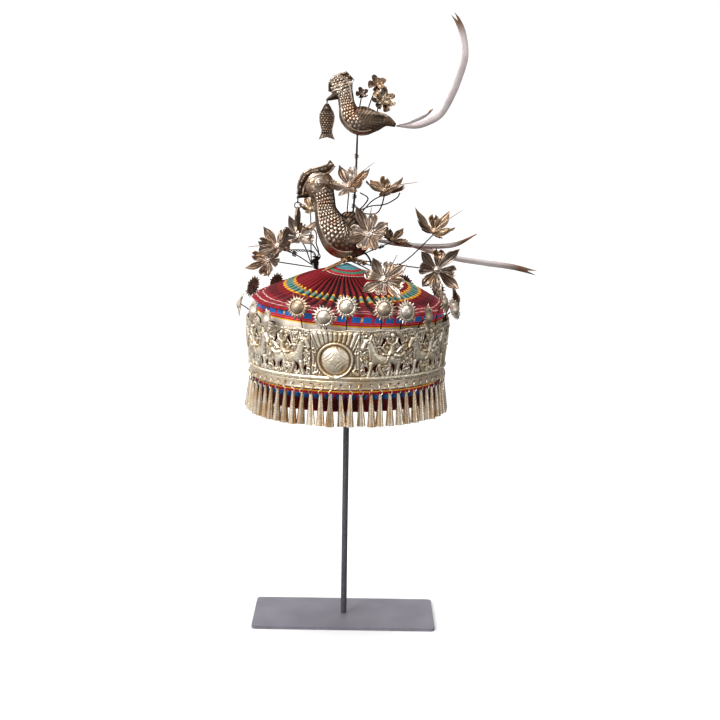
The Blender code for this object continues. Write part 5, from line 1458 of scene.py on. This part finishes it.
def plate_between(upper, lower, halves, origin, height, lanes, bosses):
    """A domed plate between two edge lines given as (along, up) shares of the bird's height."""
    first, second = (smooth_route(line, PLATE_ROWS)[:, None] for line in (upper, lower))
    across = np.linspace(0, 1, lanes)[None]
    flat = first * (1 - across[..., None]) + second * across[..., None]
    half = smooth_route([[value] for value in halves], PLATE_ROWS)
    place = np.linspace(0, 1, PLATE_ROWS)[:, None]
    boss = 0.18 * np.exp(-14 * ((place * bosses) % 1 - 0.5) ** 2) * bell(across - 0.45, 0.2) * (bosses > 0)
    rim = 0.25 * bell(np.abs(across - 0.5) - 0.42, 0.05)
    thick = half * (0.75 * np.sin(np.pi * np.clip(across, 0.04, 0.96)) ** 0.5 + boss + rim)
    left, right = (origin + height * np.stack([flat[..., 0], reach, flat[..., 1]], axis=-1)
                   for reach in (-thick, thick))
    return marked_sheet(left, right, np.clip(0.9 - 1.6 * (boss + rim), 0, 1))


def ball(centre, radius, sides=12):
    """A small round grain."""
    turn = np.linspace(0, np.pi, 7)[1:-1]
    return tube(centre - radius * np.cos(turn)[:, None] * SIDEWAYS, radius * np.sin(turn), sides)


def bird_origin(node, height, reach):
    """The foot of a bird's upright line, from the tip of its beak and the top of its crest."""
    low, high = box_of(node)
    return np.array((low[0] + reach * height, 0.0, high[2] - height))


LOWER_ORIGIN = bird_origin("bird_lower", LOWER_BIRD, 0.492)
UPPER_ORIGIN = bird_origin("bird_upper", UPPER_BIRD, 0.510)
LOWER_CREST = (
    ((-0.490, 0.640), (-0.478, 0.760), (-0.440, 0.850), (-0.360, 0.905), (-0.260, 0.932), (-0.200, 0.955),
     (-0.148, 1.000)),
    ((-0.420, 0.640), (-0.400, 0.730), (-0.350, 0.800), (-0.290, 0.835), (-0.220, 0.845), (-0.150, 0.868),
     (-0.095, 0.935)))
UPPER_CREST = (
    ((-0.470, 0.680), (-0.475, 0.790), (-0.440, 0.870), (-0.380, 0.925), (-0.290, 0.968), (-0.235, 0.975),
     (-0.190, 1.000)),
    ((-0.380, 0.660), (-0.360, 0.720), (-0.320, 0.770), (-0.260, 0.790), (-0.190, 0.790), (-0.120, 0.800),
     (-0.062, 0.865)))
LOWER_BEAK = (((-0.300, 0.720), (-0.390, 0.690), (-0.470, 0.640), (-0.491, 0.610)),
              ((-0.290, 0.620), (-0.360, 0.612), (-0.440, 0.603), (-0.489, 0.597)))
UPPER_BEAK = (((-0.300, 0.690), (-0.400, 0.650), (-0.480, 0.585), (-0.508, 0.548)),
              ((-0.280, 0.570), (-0.360, 0.552), (-0.440, 0.538), (-0.504, 0.532)))
# Half thickness of crest and beak from end to end
CREST_HALVES = (0.020, 0.066, 0.088, 0.080, 0.050, 0.022)
BEAK_HALVES = (0.055, 0.040, 0.018, 0.007)
# The wing's upper and lower edge lines, the plain bands of the upper head, and the curls' middles
LOWER_WING = (((0.00, 0.465), (0.10, 0.470), (0.20, 0.425), (0.31, 0.360)),
              ((-0.03, 0.440), (0.03, 0.330), (0.13, 0.255), (0.27, 0.250)))
UPPER_WING = (((-0.05, 0.440), (0.10, 0.460), (0.26, 0.400), (0.45, 0.300)),
              ((-0.06, 0.350), (0.08, 0.250), (0.24, 0.205), (0.42, 0.225)))
UPPER_BANDS = (((-0.400, 0.680), (-0.330, 0.705), (-0.265, 0.690), (-0.225, 0.620)),
               ((-0.235, 0.890), (-0.165, 0.830), (-0.130, 0.730), (-0.110, 0.620), (-0.090, 0.520)))
CURL_PLACES = ((-0.255, 0.765, 0.045, 1.6), (-0.315, 0.690, 0.030, 1.3), (-0.345, 0.760, 0.024, 1.2),
               (-0.200, 0.690, 0.028, 1.3))

print("birds stand at", LOWER_ORIGIN.round(4), UPPER_ORIGIN.round(4))

# %% [markdown]
# Curls, bands and wings are wire and sheet laid on the bird's body. They are drawn flat, in the
# bird's upright plane, and a ray sent in from the side finds where each point meets the body. A
# modifier could wrap them onto the body too, but it would press the wires flat.


# %% Curls and wings
class Side:
    """Finds points on one side of a bird's smooth body, to lay wires and plates on it."""

    def __init__(self, heap, origin, height, side):
        self.tree = BVHTree.FromPolygons([Vector(p) for p in np.concatenate(heap.points)], heap.faces)
        self.origin, self.height, self.side = np.asarray(origin), height, side

    def point(self, along, up, proud=0.0, least=2.0 * MM):
        start = self.origin + self.height * np.array((along, 0.0, up)) + np.array((0, self.side * 0.08, 0))
        place = self.tree.ray_cast(Vector(start), Vector((0, -self.side, 0)))[0]
        reach = least if place is None else max(abs(place.y), least)
        return np.array((start[0], self.side * (reach + proud), start[2]))

    def line(self, points, count, proud=0.0):
        route = np.array([self.point(along, up, proud) for along, up in smooth_route(points, count)])
        route[1:-1, 1] = (route[:-2, 1] + route[1:-1, 1] + route[2:, 1]) / 3
        return route


def curl_route(middle, radius, turns, count=30):
    angle = np.linspace(0, 2 * np.pi * turns, count)
    reach = radius * (1 - 0.75 * angle / angle[-1])
    return [(middle[0] + r * math.cos(a), middle[1] + r * math.sin(a)) for r, a in zip(reach, angle)]


def wing_body(side, lines, ribs=13, rows=15, columns=53):
    """A fan of ribs laid on the bird's side, with a raised border."""
    first, second = (smooth_route(line, columns)[None] for line in lines)
    t = np.linspace(0, 1, columns)[None]
    across = np.linspace(0, 1, rows)[:, None]
    grid = first * (1 - across[..., None]) + second * across[..., None]
    points = np.array([[side.point(along, up) for along, up in row] for row in grid])
    for _ in range(3):
        points[1:-1, :, 1] = (points[:-2, :, 1] + points[1:-1, :, 1] + points[2:, :, 1]) / 3
        points[:, 1:-1, 1] = (points[:, :-2, 1] + points[:, 1:-1, 1] + points[:, 2:, 1]) / 3
    rib = np.abs(np.cos(np.pi * ribs * t * (0.6 + 0.4 * across)))
    long_edges = np.clip(1 - np.minimum(across, 1 - across) / 0.08, 0, 1)
    border = np.minimum(long_edges + np.clip(1 - (1 - t) / 0.05, 0, 1), 1)
    height = side.height * (0.010 + 0.007 * rib * (1 - border) + 0.012 * border)
    outer, inner = points.copy(), points.copy()
    outer[..., 1] += side.side * (0.5 * MM + height)
    inner[..., 1] -= side.side * 0.6 * MM
    hollow = np.clip(0.95 - 0.45 * rib - 0.95 * border, 0, 1)
    if side.side > 0:
        outer, inner, hollow = outer[::-1], inner[::-1], hollow[::-1]
    return marked_sheet(outer, inner, hollow)


print("points of a curl:", len(curl_route((0, 0), 1.0, 1.5)))


# %% Both birds
def bird_heap(origin, height, sections, crest, beak, rows, columns, wing, bands, bossed):
    heap, plain = Heap(), Heap()
    body, hollow, tint, smooth, borders = bird_body(origin, height, sections, rows, columns, bossed)
    heap.add(body, hollow, tint)
    plain.add(smooth)
    for border in borders:
        heap.add(tube(border, 0.012 * height, 8), 0.0, 0.9)
    plates = ((crest, CREST_HALVES, 9, 6, 0.55), (beak, BEAK_HALVES, 7, 0, 0.45))
    for lines, halves, lanes, bosses, tint in plates:
        body, hollow = plate_between(*lines, halves, origin, height, lanes, bosses)
        heap.add(body, hollow, tint)
        plain.add(body)
    upper, lower = np.array(crest)
    for direction in (-1, 1):
        side = Side(plain, origin, height, direction)
        for share, thick in ((0.10, 0.010), (0.94, 0.012)):
            border = side.line(upper * (1 - share) + lower * share, 44, 0.2 * MM)
            heap.add(tube(border, thick * height, 6), 0.0, 0.9)
        for along, up in smooth_route(upper * 0.58 + lower * 0.42, 8, 0.12, 0.80):
            heap.add(ball(side.point(along, up), 0.010 * height), 0.10, 0.6)
        tip = (upper[-1] + lower[-1] + upper[-2] * 0.4 + lower[-2] * 0.4) / 2.8
        heap.add(ball(side.point(*tip), 0.020 * height), 0.1, 0.6)
        for along, up, radius, turns in CURL_PLACES:
            curl = side.line(curl_route((along, up), radius, turns), 30, 0.1 * MM)
            heap.add(tube(curl, 0.012 * height, 6), 0.0, 1.0)
        heap.add(ball(side.point(*CURL_PLACES[0][:2]), 0.016 * height), 0.1, 1.0)
        for band in bands:
            heap.add(tube(side.line(band, 30, 0.1 * MM), 0.020 * height, 8), 0.0, 0.9)
        heap.add(*wing_body(side, wing), 0.35)
    return heap


lower_heap = bird_heap(LOWER_ORIGIN, LOWER_BIRD, LOWER_SECTIONS, LOWER_CREST, LOWER_BEAK, 40, 24, LOWER_WING,
                       (), False)
upper_heap = bird_heap(UPPER_ORIGIN, UPPER_BIRD, UPPER_SECTIONS, UPPER_CREST, UPPER_BEAK, 34, 20, UPPER_WING,
                       UPPER_BANDS, True)
for name, heap in (("lower", lower_heap), ("upper", upper_heap)):
    finish_piece("phoenix_" + name, heap, (METAL["bird_bronze"],), ("bird_" + name,), 60)

# %% [markdown]
# ## Fish and rings
#
# A flat fish hangs from each beak on small rings. The fish is one outline, domed towards its
# middle and covered with scales on both sides. The rings hang through one another, so they stay
# where their solids are.

# %% Fish and rings
FISH_OUTLINE = ((0.00, 0.045), (0.06, 0.09), (0.12, 0.120), (0.22, 0.180), (0.32, 0.215), (0.42, 0.215),
                (0.52, 0.205), (0.62, 0.180), (0.72, 0.160), (0.80, 0.160), (0.90, 0.190), (1.00, 0.235))


def fish_body(top, broad, length):
    down = np.linspace(0, 1, 80)[:, None]
    across = np.linspace(-1, 1, 27)[None]
    half = through(down, *zip(*FISH_OUTLINE))
    notch = 0.07 * (1 - np.abs(across)) * ease(0.8, 1.0, down)
    tail = ease(0.78, 0.86, down)
    scale = grains(down * 16, across * 2.5, 4) * (1 - tail) * ease(0.2, 0.26, down)
    rays = np.abs(np.sin(across * 9)) * tail
    eye = bell(down - 0.13, 0.03) * bell(across, 0.35)
    border = bell(np.abs(across) - 0.93, 0.07)
    height = 0.55 * MM + 0.6 * MM * (1 - across ** 2) * (1 - tail * 0.7)
    height = height + 0.45 * MM * (np.maximum(scale, border) + rays * 0.8 + eye)
    flat = top + length * (broad * (across * half)[..., None] - UP * (down - notch)[..., None])
    thick = unit(np.cross(broad, -UP)) * height[..., None]
    hollow = np.clip(0.95 - np.maximum(0.55 * scale, border) - rays * 0.6 - eye, 0, 1)
    return marked_sheet(flat - thick, flat + thick, hollow)


def add_ring(name):
    low, high = box_of(name)
    size = high - low
    across = np.array((1.0, 0, 0)) if size[0] > size[1] else SIDEWAYS
    turn = np.linspace(0, 2 * np.pi, 40)[:, None]
    circle = (low + high) / 2 + (size[2] / 2 - 0.45 * MM) * (np.cos(turn) * across + np.sin(turn) * UP)
    heap = Heap()
    heap.add(tube(circle, 0.55 * MM, 8), 0.2, 1.0)
    finish_piece(name.replace("ring", "jump_ring"), heap, (METAL["dark_wire"],), (name,), 60)


# The lower fish is turned on its rings, away from the front
FISH_TURN = math.radians(22)
for name, broad in (("fish_lower", (math.sin(FISH_TURN), math.cos(FISH_TURN), 0.0)),
                    ("fish_upper", (1.0, 0.0, 0.0))):
    low, high = box_of(name)
    top = (low + high) / 2
    top[2] = high[2]
    heap = Heap()
    heap.add(*fish_body(top, np.array(broad), high[2] - low[2]), 0.60)
    finish_piece(name.replace("fish", "carp"), heap, (METAL["bird_bronze"],), (name,), 50)
for name in ("ring_lower_a", "ring_lower_b", "ring_upper"):
    add_ring(name)

# %% [markdown]
# ## Tail feathers
#
# The long tail feathers are strips of very thin pale silver with gilt tips. A curve with a flat
# bevel would do, but the strips also widen, hollow along their middle and fork at the tip. So
# each is a sheet swept along a smooth route, and the route's points are those of its solid.

# %% Feathers
FEATHER_LENGTH = 116 * MM
# Each route: along, to the side and up from the tail, and half its width, as shares of the length
UPPER_FEATHER = ((0.00, 0.00, 0.000, 0.010), (0.16, 0.00, -0.002, 0.022), (0.28, 0.01, 0.042, 0.027),
                 (0.36, 0.02, 0.102, 0.030), (0.43, 0.02, 0.222, 0.031), (0.49, 0.02, 0.372, 0.032),
                 (0.54, 0.02, 0.558, 0.031), (0.52, 0.03, 0.731, 0.029), (0.48, 0.03, 0.832, 0.024),
                 (0.433, 0.03, 0.896, 0.018))
UPPER_SHORT = ((0.00, -0.030, 0.006, 0.010), (0.11, -0.060, 0.034, 0.018), (0.22, -0.070, 0.082, 0.018),
               (0.29, -0.070, 0.135, 0.004))
LOWER_LEFT = ((0.00, -0.01, 0.00, 0.012), (0.06, 0.10, -0.015, 0.015), (0.15, 0.15, -0.035, 0.018),
              (0.33, 0.17, -0.050, 0.020), (0.52, 0.17, -0.052, 0.021), (0.67, 0.17, -0.030, 0.019),
              (0.83, 0.17, 0.055, 0.004))
LOWER_RIGHT = ((0.00, 0.02, 0.00, 0.012), (0.06, 0.16, -0.018, 0.015), (0.28, 0.26, -0.050, 0.019),
               (0.62, 0.27, -0.150, 0.023), (0.90, 0.26, -0.192, 0.025), (1.15, 0.26, -0.225, 0.024),
               (1.36, 0.26, -0.275, 0.020))
# Depth of the fork at a feather's tip, as a share of the feather length
FORKS = {"feather_01": 0.075, "feather_04": 0.090}


def feather_body(start, rows, fork, count=90, lanes=9):
    line = smooth_route(rows, count)
    centre = start + line[:, :3] * FEATHER_LENGTH
    ahead = unit(np.gradient(centre, axis=0))
    across = unit(np.stack([-ahead[:, 2], 0 * ahead[:, 0], ahead[:, 0]], axis=-1))
    half = np.maximum(line[:, 3:], 0.003) * FEATHER_LENGTH
    lane = np.linspace(-1, 1, lanes)[None]
    t = np.linspace(0, 1, count)[:, None]
    cut_back = fork * ease(0.86, 1.0, t) * (1 - np.abs(lane))
    width = across[:, None] * (lane * half)[..., None] - ahead[:, None] * cut_back[..., None]
    trough = 0.5 * MM * (lane ** 2 - 0.5)
    front, back = (centre[:, None] + width + SIDEWAYS * reach[..., None]
                   for reach in (trough - 0.12 * MM, trough + 0.12 * MM))
    return marked_sheet(front, back, 1.2 * ease(0.70, 0.95, t))


# Each feather starts just behind the tail of its bird
TAILS = {
    "feather_01": (UPPER_ORIGIN, UPPER_BIRD, UPPER_SECTIONS, UPPER_FEATHER),
    "feather_02": (UPPER_ORIGIN, UPPER_BIRD, UPPER_SECTIONS, UPPER_SHORT),
    "feather_03": (LOWER_ORIGIN, LOWER_BIRD, LOWER_SECTIONS, LOWER_LEFT),
    "feather_04": (LOWER_ORIGIN, LOWER_BIRD, LOWER_SECTIONS, LOWER_RIGHT),
}
for name, (origin, height, sections, rows) in TAILS.items():
    start = origin + np.array((sections[0][0] * height + 0.6 * MM, 0, sections[0][1] * height))
    heap = Heap()
    heap.add(*feather_body(start, rows, FORKS.get(name, 0.0) * FEATHER_LENGTH), 0.9)
    metals = (METAL["feather_silver"],)
    finish_piece(name.replace("feather", "plume"), heap, metals, (name,), 50)

# %% [markdown]
# ## Small pieces and knots
#
# A bud, a leaf and a blossom stand on the upper bird's back. They are small flowers with other
# numbers, so the same petals serve. Under the lower bird the wires of all the flowers are wound
# into a knot, and at the left into a small coil. Both are made of turns of wire round the
# upright solids, since that is how the real ones are tied.

# %% Bud, leaf and blossom
SMALL_COLUMNS = ("name", "along", "side", "up", "petals", "size", "cup", "face", "seat", "tint", "metal")
SMALL_PIECES = (
    ("bud", 0.060, -0.06, 0.640, 5, 0.29, 0.6, (0.10, -0.85, 0.50), 0.03, 0.15, 0),
    ("leaf", 0.300, 0.13, 0.800, 5, 0.44, 0.3, (0.20, -0.80, 0.50), 0.17, 0.40, 0),
    ("blossom", 0.390, -0.12, 0.545, 7, 0.58, 0.3, (0.20, -0.85, 0.50), 0.31, 0.60, 2),
)
for row in records(SMALL_COLUMNS, SMALL_PIECES):
    centre = UPPER_ORIGIN + UPPER_BIRD * np.array((row["along"], row["side"], row["up"]))
    facing = unit(np.array(row["face"]))
    petals, tint, cup = row["petals"], row["tint"], row["cup"]
    radius = FLOWER_RADIUS * row["size"]
    heap = Heap()
    outer = (centre, facing_frame(facing, 0), radius)
    inner = (centre + facing * 1.2 * MM, facing_frame(facing, 180 / petals), radius * 0.62)
    add_petals(heap, outer, petals, cup, tint, 3, row["metal"], ("round",))
    add_petals(heap, inner, petals, cup + 0.3, min(1.0, tint + 0.3), 5, row["metal"], ("round",))
    above = UPPER_ORIGIN + UPPER_BIRD * np.array((row["seat"], 0.0, 2.0))
    seat = solid_hit("bird_upper", above, -UP)
    stalk = flower_wire(seat, seat + UP * 3 * MM, centre, facing, 0.0)
    heap.add_all(twisted(stalk, WIRE), 0.6, 0.4, 1)
    finish_piece("small_" + row["name"], heap, BLOOM_METALS, (row["name"],), 45)


# %% Knot, coil and post
def winding(low, high, radius, turns, bulge):
    """A wire wound in turns from one height to another, a little uneven."""
    place = np.linspace(0, 1, int(turns * 18))
    angle = 2 * np.pi * turns * place
    reach = radius * (1 + bulge * np.sin(np.pi * place) + 0.10 * np.sin(2.3 * angle))
    middle = (low + high) / 2
    return np.stack([middle[0] + reach * np.cos(angle), middle[1] + reach * np.sin(angle),
                     low[2] + (high[2] - low[2]) * place + 0.3 * MM * np.sin(1.7 * angle)], axis=-1)


def wound_heap(node, turns, thick, bulge):
    """Two layers of turns round a core, in the place of an upright solid."""
    low, high = box_of(node)
    radius = (high[0] - low[0]) / 2 - thick
    low, high = low + UP * thick, high - UP * thick
    heap = Heap()
    heap.add(tube(winding(low, high, radius, turns, bulge), thick, 6), 0.5, 0.6)
    heap.add(tube(winding(low, high, radius * 0.55, turns * 0.8, 0.2), thick, 6), 0.7, 0.3)
    core = np.linspace(low - UP * thick * 0.8, high + UP * thick * 0.8, 6)
    core[:, :2] = ((low + high) / 2)[:2]
    heap.add(tube(core, radius * 0.45, 8), 0.9, 0.2)
    return heap


def finish_wire(name, heap, metal, replaces=()):
    finish_piece(name, heap, (METAL[metal],), replaces, 60)


finish_wire("wire_knot", wound_heap("apex_knot", 4.5, 0.80 * MM, 0.1), "gilt_wire", ("apex_knot",))
finish_wire("wire_coil", wound_heap("left_coil", 7, 0.55 * MM, 0.15), "dark_wire", ("left_coil",))

post_low, post_high = box_of("bird_post")
foot = solid_hit("bird_lower", (post_low[0] + 1.2 * MM, 0, post_high[2]), -UP)
halfway = foot * 0.6 + post_high * 0.4 + np.array((0.4 * MM, -post_high[1] * 0.4, 0))
post_top = np.array((post_high[0] - 1.2 * MM, 0, post_high[2]))
post_route = smooth_route([foot, halfway, post_top], 40)
post_heap = Heap()
post_heap.add_all(twisted(post_route, 0.64 * MM, 5 * MM, 3), 0.4, 0.7)
for share in (0.18, 0.34, 0.58, 0.80):
    post_heap.add(wire_coil(post_route, share, 2.5, 4 * MM, 1.6 * MM), 0.3, 0.9)
finish_wire("twisted_post", post_heap, "dark_wire", ("bird_post",))

# %% [markdown]
# Loose ends of the same wire stand out between the flowers: two arches and an open twisted cable
# at the left, three loops under the upper flowers, and curls of gilt wire round the knot. None
# of them carries anything, so each is only a route through a few places in millimetres.

# %% Loose loops of wire
# Each route in millimetres, with half the thickness of its wire first
DARK_LOOPS = (
    (0.70, (-42, 24, 384), (-34, 24, 383), (-31.5, 24, 377), (-32, 25, 370),
     (-29.5, 27, 361), (-32, 30, 353)),
    (0.70, (-43, 24, 376), (-37, 24, 371), (-32, 25, 364), (-28, 27, 357), (-31, 30, 352)),
    (0.70, (7, 0, 402.5), (19, 1, 400.5), (27, 2, 402), (31, 4, 409), (33, 6, 417)),
    (0.70, (7, 0, 402.5), (20, -1, 408), (34, 0, 410), (45, 2, 416), (48, 3, 421)),
    (0.70, (7, 0, 402.5), (14, -3, 409), (17.5, -6, 416), (10, -9, 421)),
    (1.00, (4, 0, 359), (11.5, -1, 364), (16.6, -1, 362.4), (20.5, -1, 357), (22, -1, 351)),
)
CABLE = ((-32, 29, 356), (-36, 27, 361.5), (-48, 26, 362.6), (-64, 26, 362.4))
LUMP = (-32.6, 29.8, 353.6)
GILT_LOOPS = (
    ((-25, -4, 345.4), (-17, -5, 349.2), (-9, -6, 353.0), (-2, -6, 357.4)),
    ((-22, 2, 347.6), (-14, 0, 351.6), (-6, -3, 355.8), (0, -5, 358.4)),
)
# Middle and radius of each curl round the knot
CURL_SPOTS = ((0.5, -7.4, 358.4, 2.9), (5.8, -8.0, 357.2, 3.1), (11.0, -7.2, 355.2, 2.8),
              (-4.2, -7.4, 355.8, 2.5), (15.2, -5.0, 353.6, 2.2))

loops = Heap()
for thick, *points in DARK_LOOPS:
    loops.add(tube(smooth_route(points, 30) * MM, thick * MM, 6), 0.3, 0.5)
loops.add_all(twisted(smooth_route(CABLE, 40) * MM, 1.05 * MM, 5.0 * MM, 2, 0.48), 0.3, 0.8)
angle = np.linspace(0, 2 * np.pi * 5.3, 90)
reach = 2.6 + 0.9 * np.sin(1.7 * angle)
tangle = np.stack([reach * np.cos(angle), 0.7 * reach * np.sin(angle), 3.0 * np.sin(0.37 * angle)], axis=-1)
loops.add(tube((tangle + LUMP) * MM, 0.6 * MM, 6), 0.4, 0.4)
finish_wire("wire_loops", loops, "dark_wire")

curls = Heap()
for points in GILT_LOOPS:
    curls.add(tube(smooth_route(points, 20) * MM, 0.95 * MM, 8), 0.3, 0.6)
for x, y, z, radius in CURL_SPOTS:
    flat_curl = curl_route((x, z), radius, 1.6, 24)
    spiral = [(along, y + 0.25 * turn, up) for turn, (along, up) in enumerate(flat_curl)]
    curls.add(tube(np.array(spiral) * MM, 0.72 * MM, 6), 0.15, 0.9)
finish_wire("knot_curls", curls, "gilt_wire")

# %% [markdown]
# ## The stand
#
# The plate and rod keep their solids, which already have the right shape. They only need a
# finish: gunmetal enamel with a fine speckle, a little glossier where hands have rubbed it. The
# plate's tones are lighter than the rod's, painted light for the light that falls on its top.


# %% Stand finish
def stand_enamel(name, *tones):
    """Speckled enamel from its dark, middle and light tone."""
    finish = Finish(name, metallic=0.6)
    speck = finish.noise(0.6 * MM, 3)
    cloud = finish.noise(30 * MM, 3)
    colour = finish.ramp(speck, [(place, dye(*tone)) for place, tone in zip((0.35, 0.55, 0.75), tones)])
    shade = finish.ramp(cloud, ((0.3, dye(225, 225, 228)), (0.7, dye(255, 255, 255))))
    finish.colour(finish.shaded(colour, shade))
    finish.gloss(0.62, 0.42, cloud)
    finish.emboss(speck, 0.08 * MM, 0.6)
    return finish.material


ROD_ENAMEL = stand_enamel("rod_enamel", (58, 58, 64), (90, 91, 96), (130, 131, 136))
# Painted light: the same enamel as the rod's in lighter tones, for the light on the plate's top face
PLATE_ENAMEL_PAINTED_LIGHTER = stand_enamel("plate_enamel_painted_lighter", (104, 101, 110), (156, 152, 162), (200, 196, 206))
for name, enamel in (("stand_plate", PLATE_ENAMEL_PAINTED_LIGHTER), ("stand_rod", ROD_ENAMEL), ("hat_rest", ROD_ENAMEL)):
    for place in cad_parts[name].material_slots:
        place.material = enamel
print("stand finished")

# %% [markdown]
# ## Floor and light
#
# The hat stands before a seamless white sweep. Silver only looks like silver when it has both
# bright and dark things to mirror, so the room is white where the camera looks, but for the
# metal it is a grey room with a dark floor and one bright side, upper left. Each cone then gets
# its bright left edge and its brown right one.

# %% Floor
SWEEP_FRONT = -3.0
SWEEP_BACK = 2.2
SWEEP_HALF = 3.5
SWEEP_HIGH = 3.2
SWEEP_BEND = 1.0
# The paper is a little greyer behind, where it gets more light, so that it is only just white there
# and thin wires keep their edges against it
PAPER_START = -1.0
PAPER_SPAN = 3.2
PAPER_TONES = ((0.30, 0.82), (0.60, 0.68), (1.0, 0.65))


def white_paper():
    paper = Finish("white_paper", roughness=0.9)
    depth = paper.feed_all(paper.add("ShaderNodeSeparateXYZ"), {0: paper.place})["Y"]
    far = paper.line(depth, 1 / PAPER_SPAN, -PAPER_START / PAPER_SPAN)
    paper.colour(paper.ramp(far, PAPER_TONES))
    paper.feed_all(paper.shader, {"Specular IOR Level": 0.1})
    return paper.material


turn = np.linspace(0, np.pi / 2, 13)
bend_y = SWEEP_BACK - SWEEP_BEND * (1 - np.sin(turn))
bend_z = SWEEP_BEND * (1 - np.cos(turn))
profile = [(SWEEP_FRONT, 0.0), *zip(bend_y.tolist(), bend_z.tolist()), (SWEEP_BACK, SWEEP_HIGH)]
sweep = bpy.data.meshes.new("floor")
sweep.from_pydata([(x, y, z) for y, z in profile for x in (-SWEEP_HALF, SWEEP_HALF)], [],
                  [(2 * i, 2 * i + 1, 2 * i + 3, 2 * i + 2) for i in range(len(profile) - 1)])
sweep.shade_smooth()
sweep.materials.append(white_paper())
floor = bpy.data.objects.new("floor", sweep)
floor.visible_glossy = False
bpy.context.scene.collection.objects.link(floor)
print("floor reaches", SWEEP_FRONT, "to", SWEEP_BACK)

# %% Room
# How bright the room is from its floor to its top, in its patches, and from left to right
ROOM_HEIGHTS = ((0.0, 0.22), (0.40, 0.42), (0.52, 0.74), (1.0, 0.95))
ROOM_PATCHES = ((0.38, 0.22), (0.60, 1.0))
ROOM_SIDES = ((0.20, 1.0), (0.75, 0.30))
PATCH_SIZE = 1 / 2.6

world = bpy.data.worlds.new("room")
bpy.context.scene.world = world
world.use_nodes = True
room = Nodes(world.node_tree, "Generated")
split = room.feed_all(room.add("ShaderNodeSeparateXYZ"), {0: room.place})
grey = room.ramp(room.line(split["Z"], 0.5, 0.5), ROOM_HEIGHTS)
grey = room.shaded(grey, room.ramp(room.noise(PATCH_SIZE, 1.0), ROOM_PATCHES))
grey = room.shaded(grey, room.ramp(room.line(split["X"], 0.5, 0.5), ROOM_SIDES))
mirrored = room.feed_all(room.tree.nodes["Background"], {"Color": grey, "Strength": 2.3})[0]
# Seen directly, the room is plain white, so that there is no horizon behind the paper's edge
seen = room.feed_all(room.add("ShaderNodeBackground"), {"Strength": 1.1})[0]
direct = room.add("ShaderNodeLightPath").outputs["Is Camera Ray"]
choice = room.feed_all(room.add("ShaderNodeMixShader"), {0: direct, 1: mirrored, 2: seen})[0]
room.feed(room.tree.nodes["World Output"].inputs["Surface"], choice)
print("room nodes:", len(room.tree.nodes))

# %% Lamps
HAT = (0, 0, 0.33)
# Name, place, what it points at, size in metres and power in watts
LAMPS = (
    ("key", (-1.3, -1.5, 1.5), HAT, (0.7, 1.0), 38),
    ("fill", (1.9, -1.2, 0.7), HAT, (0.35, 1.4), 5),
    ("top", (0.0, 0.1, 2.0), HAT, (1.2, 1.2), 16),
    ("backdrop", (0.0, 0.6, 2.6), (0, 2.2, 0.6), (3.0, 0.8), 40),
)
for name, place, target, size, power in LAMPS:
    lamp = bpy.data.lights.new(name, "AREA")
    lamp.shape = "RECTANGLE"
    lamp.size, lamp.size_y = size
    lamp.energy = power
    holder = bpy.data.objects.new(name, lamp)
    holder.location = place
    holder.rotation_euler = (Vector(target) - Vector(place)).to_track_quat("-Z", "Y").to_euler()
    bpy.context.scene.collection.objects.link(holder)
bpy.context.scene.view_settings.view_transform = "Standard"
print("lamps placed:", len(LAMPS))
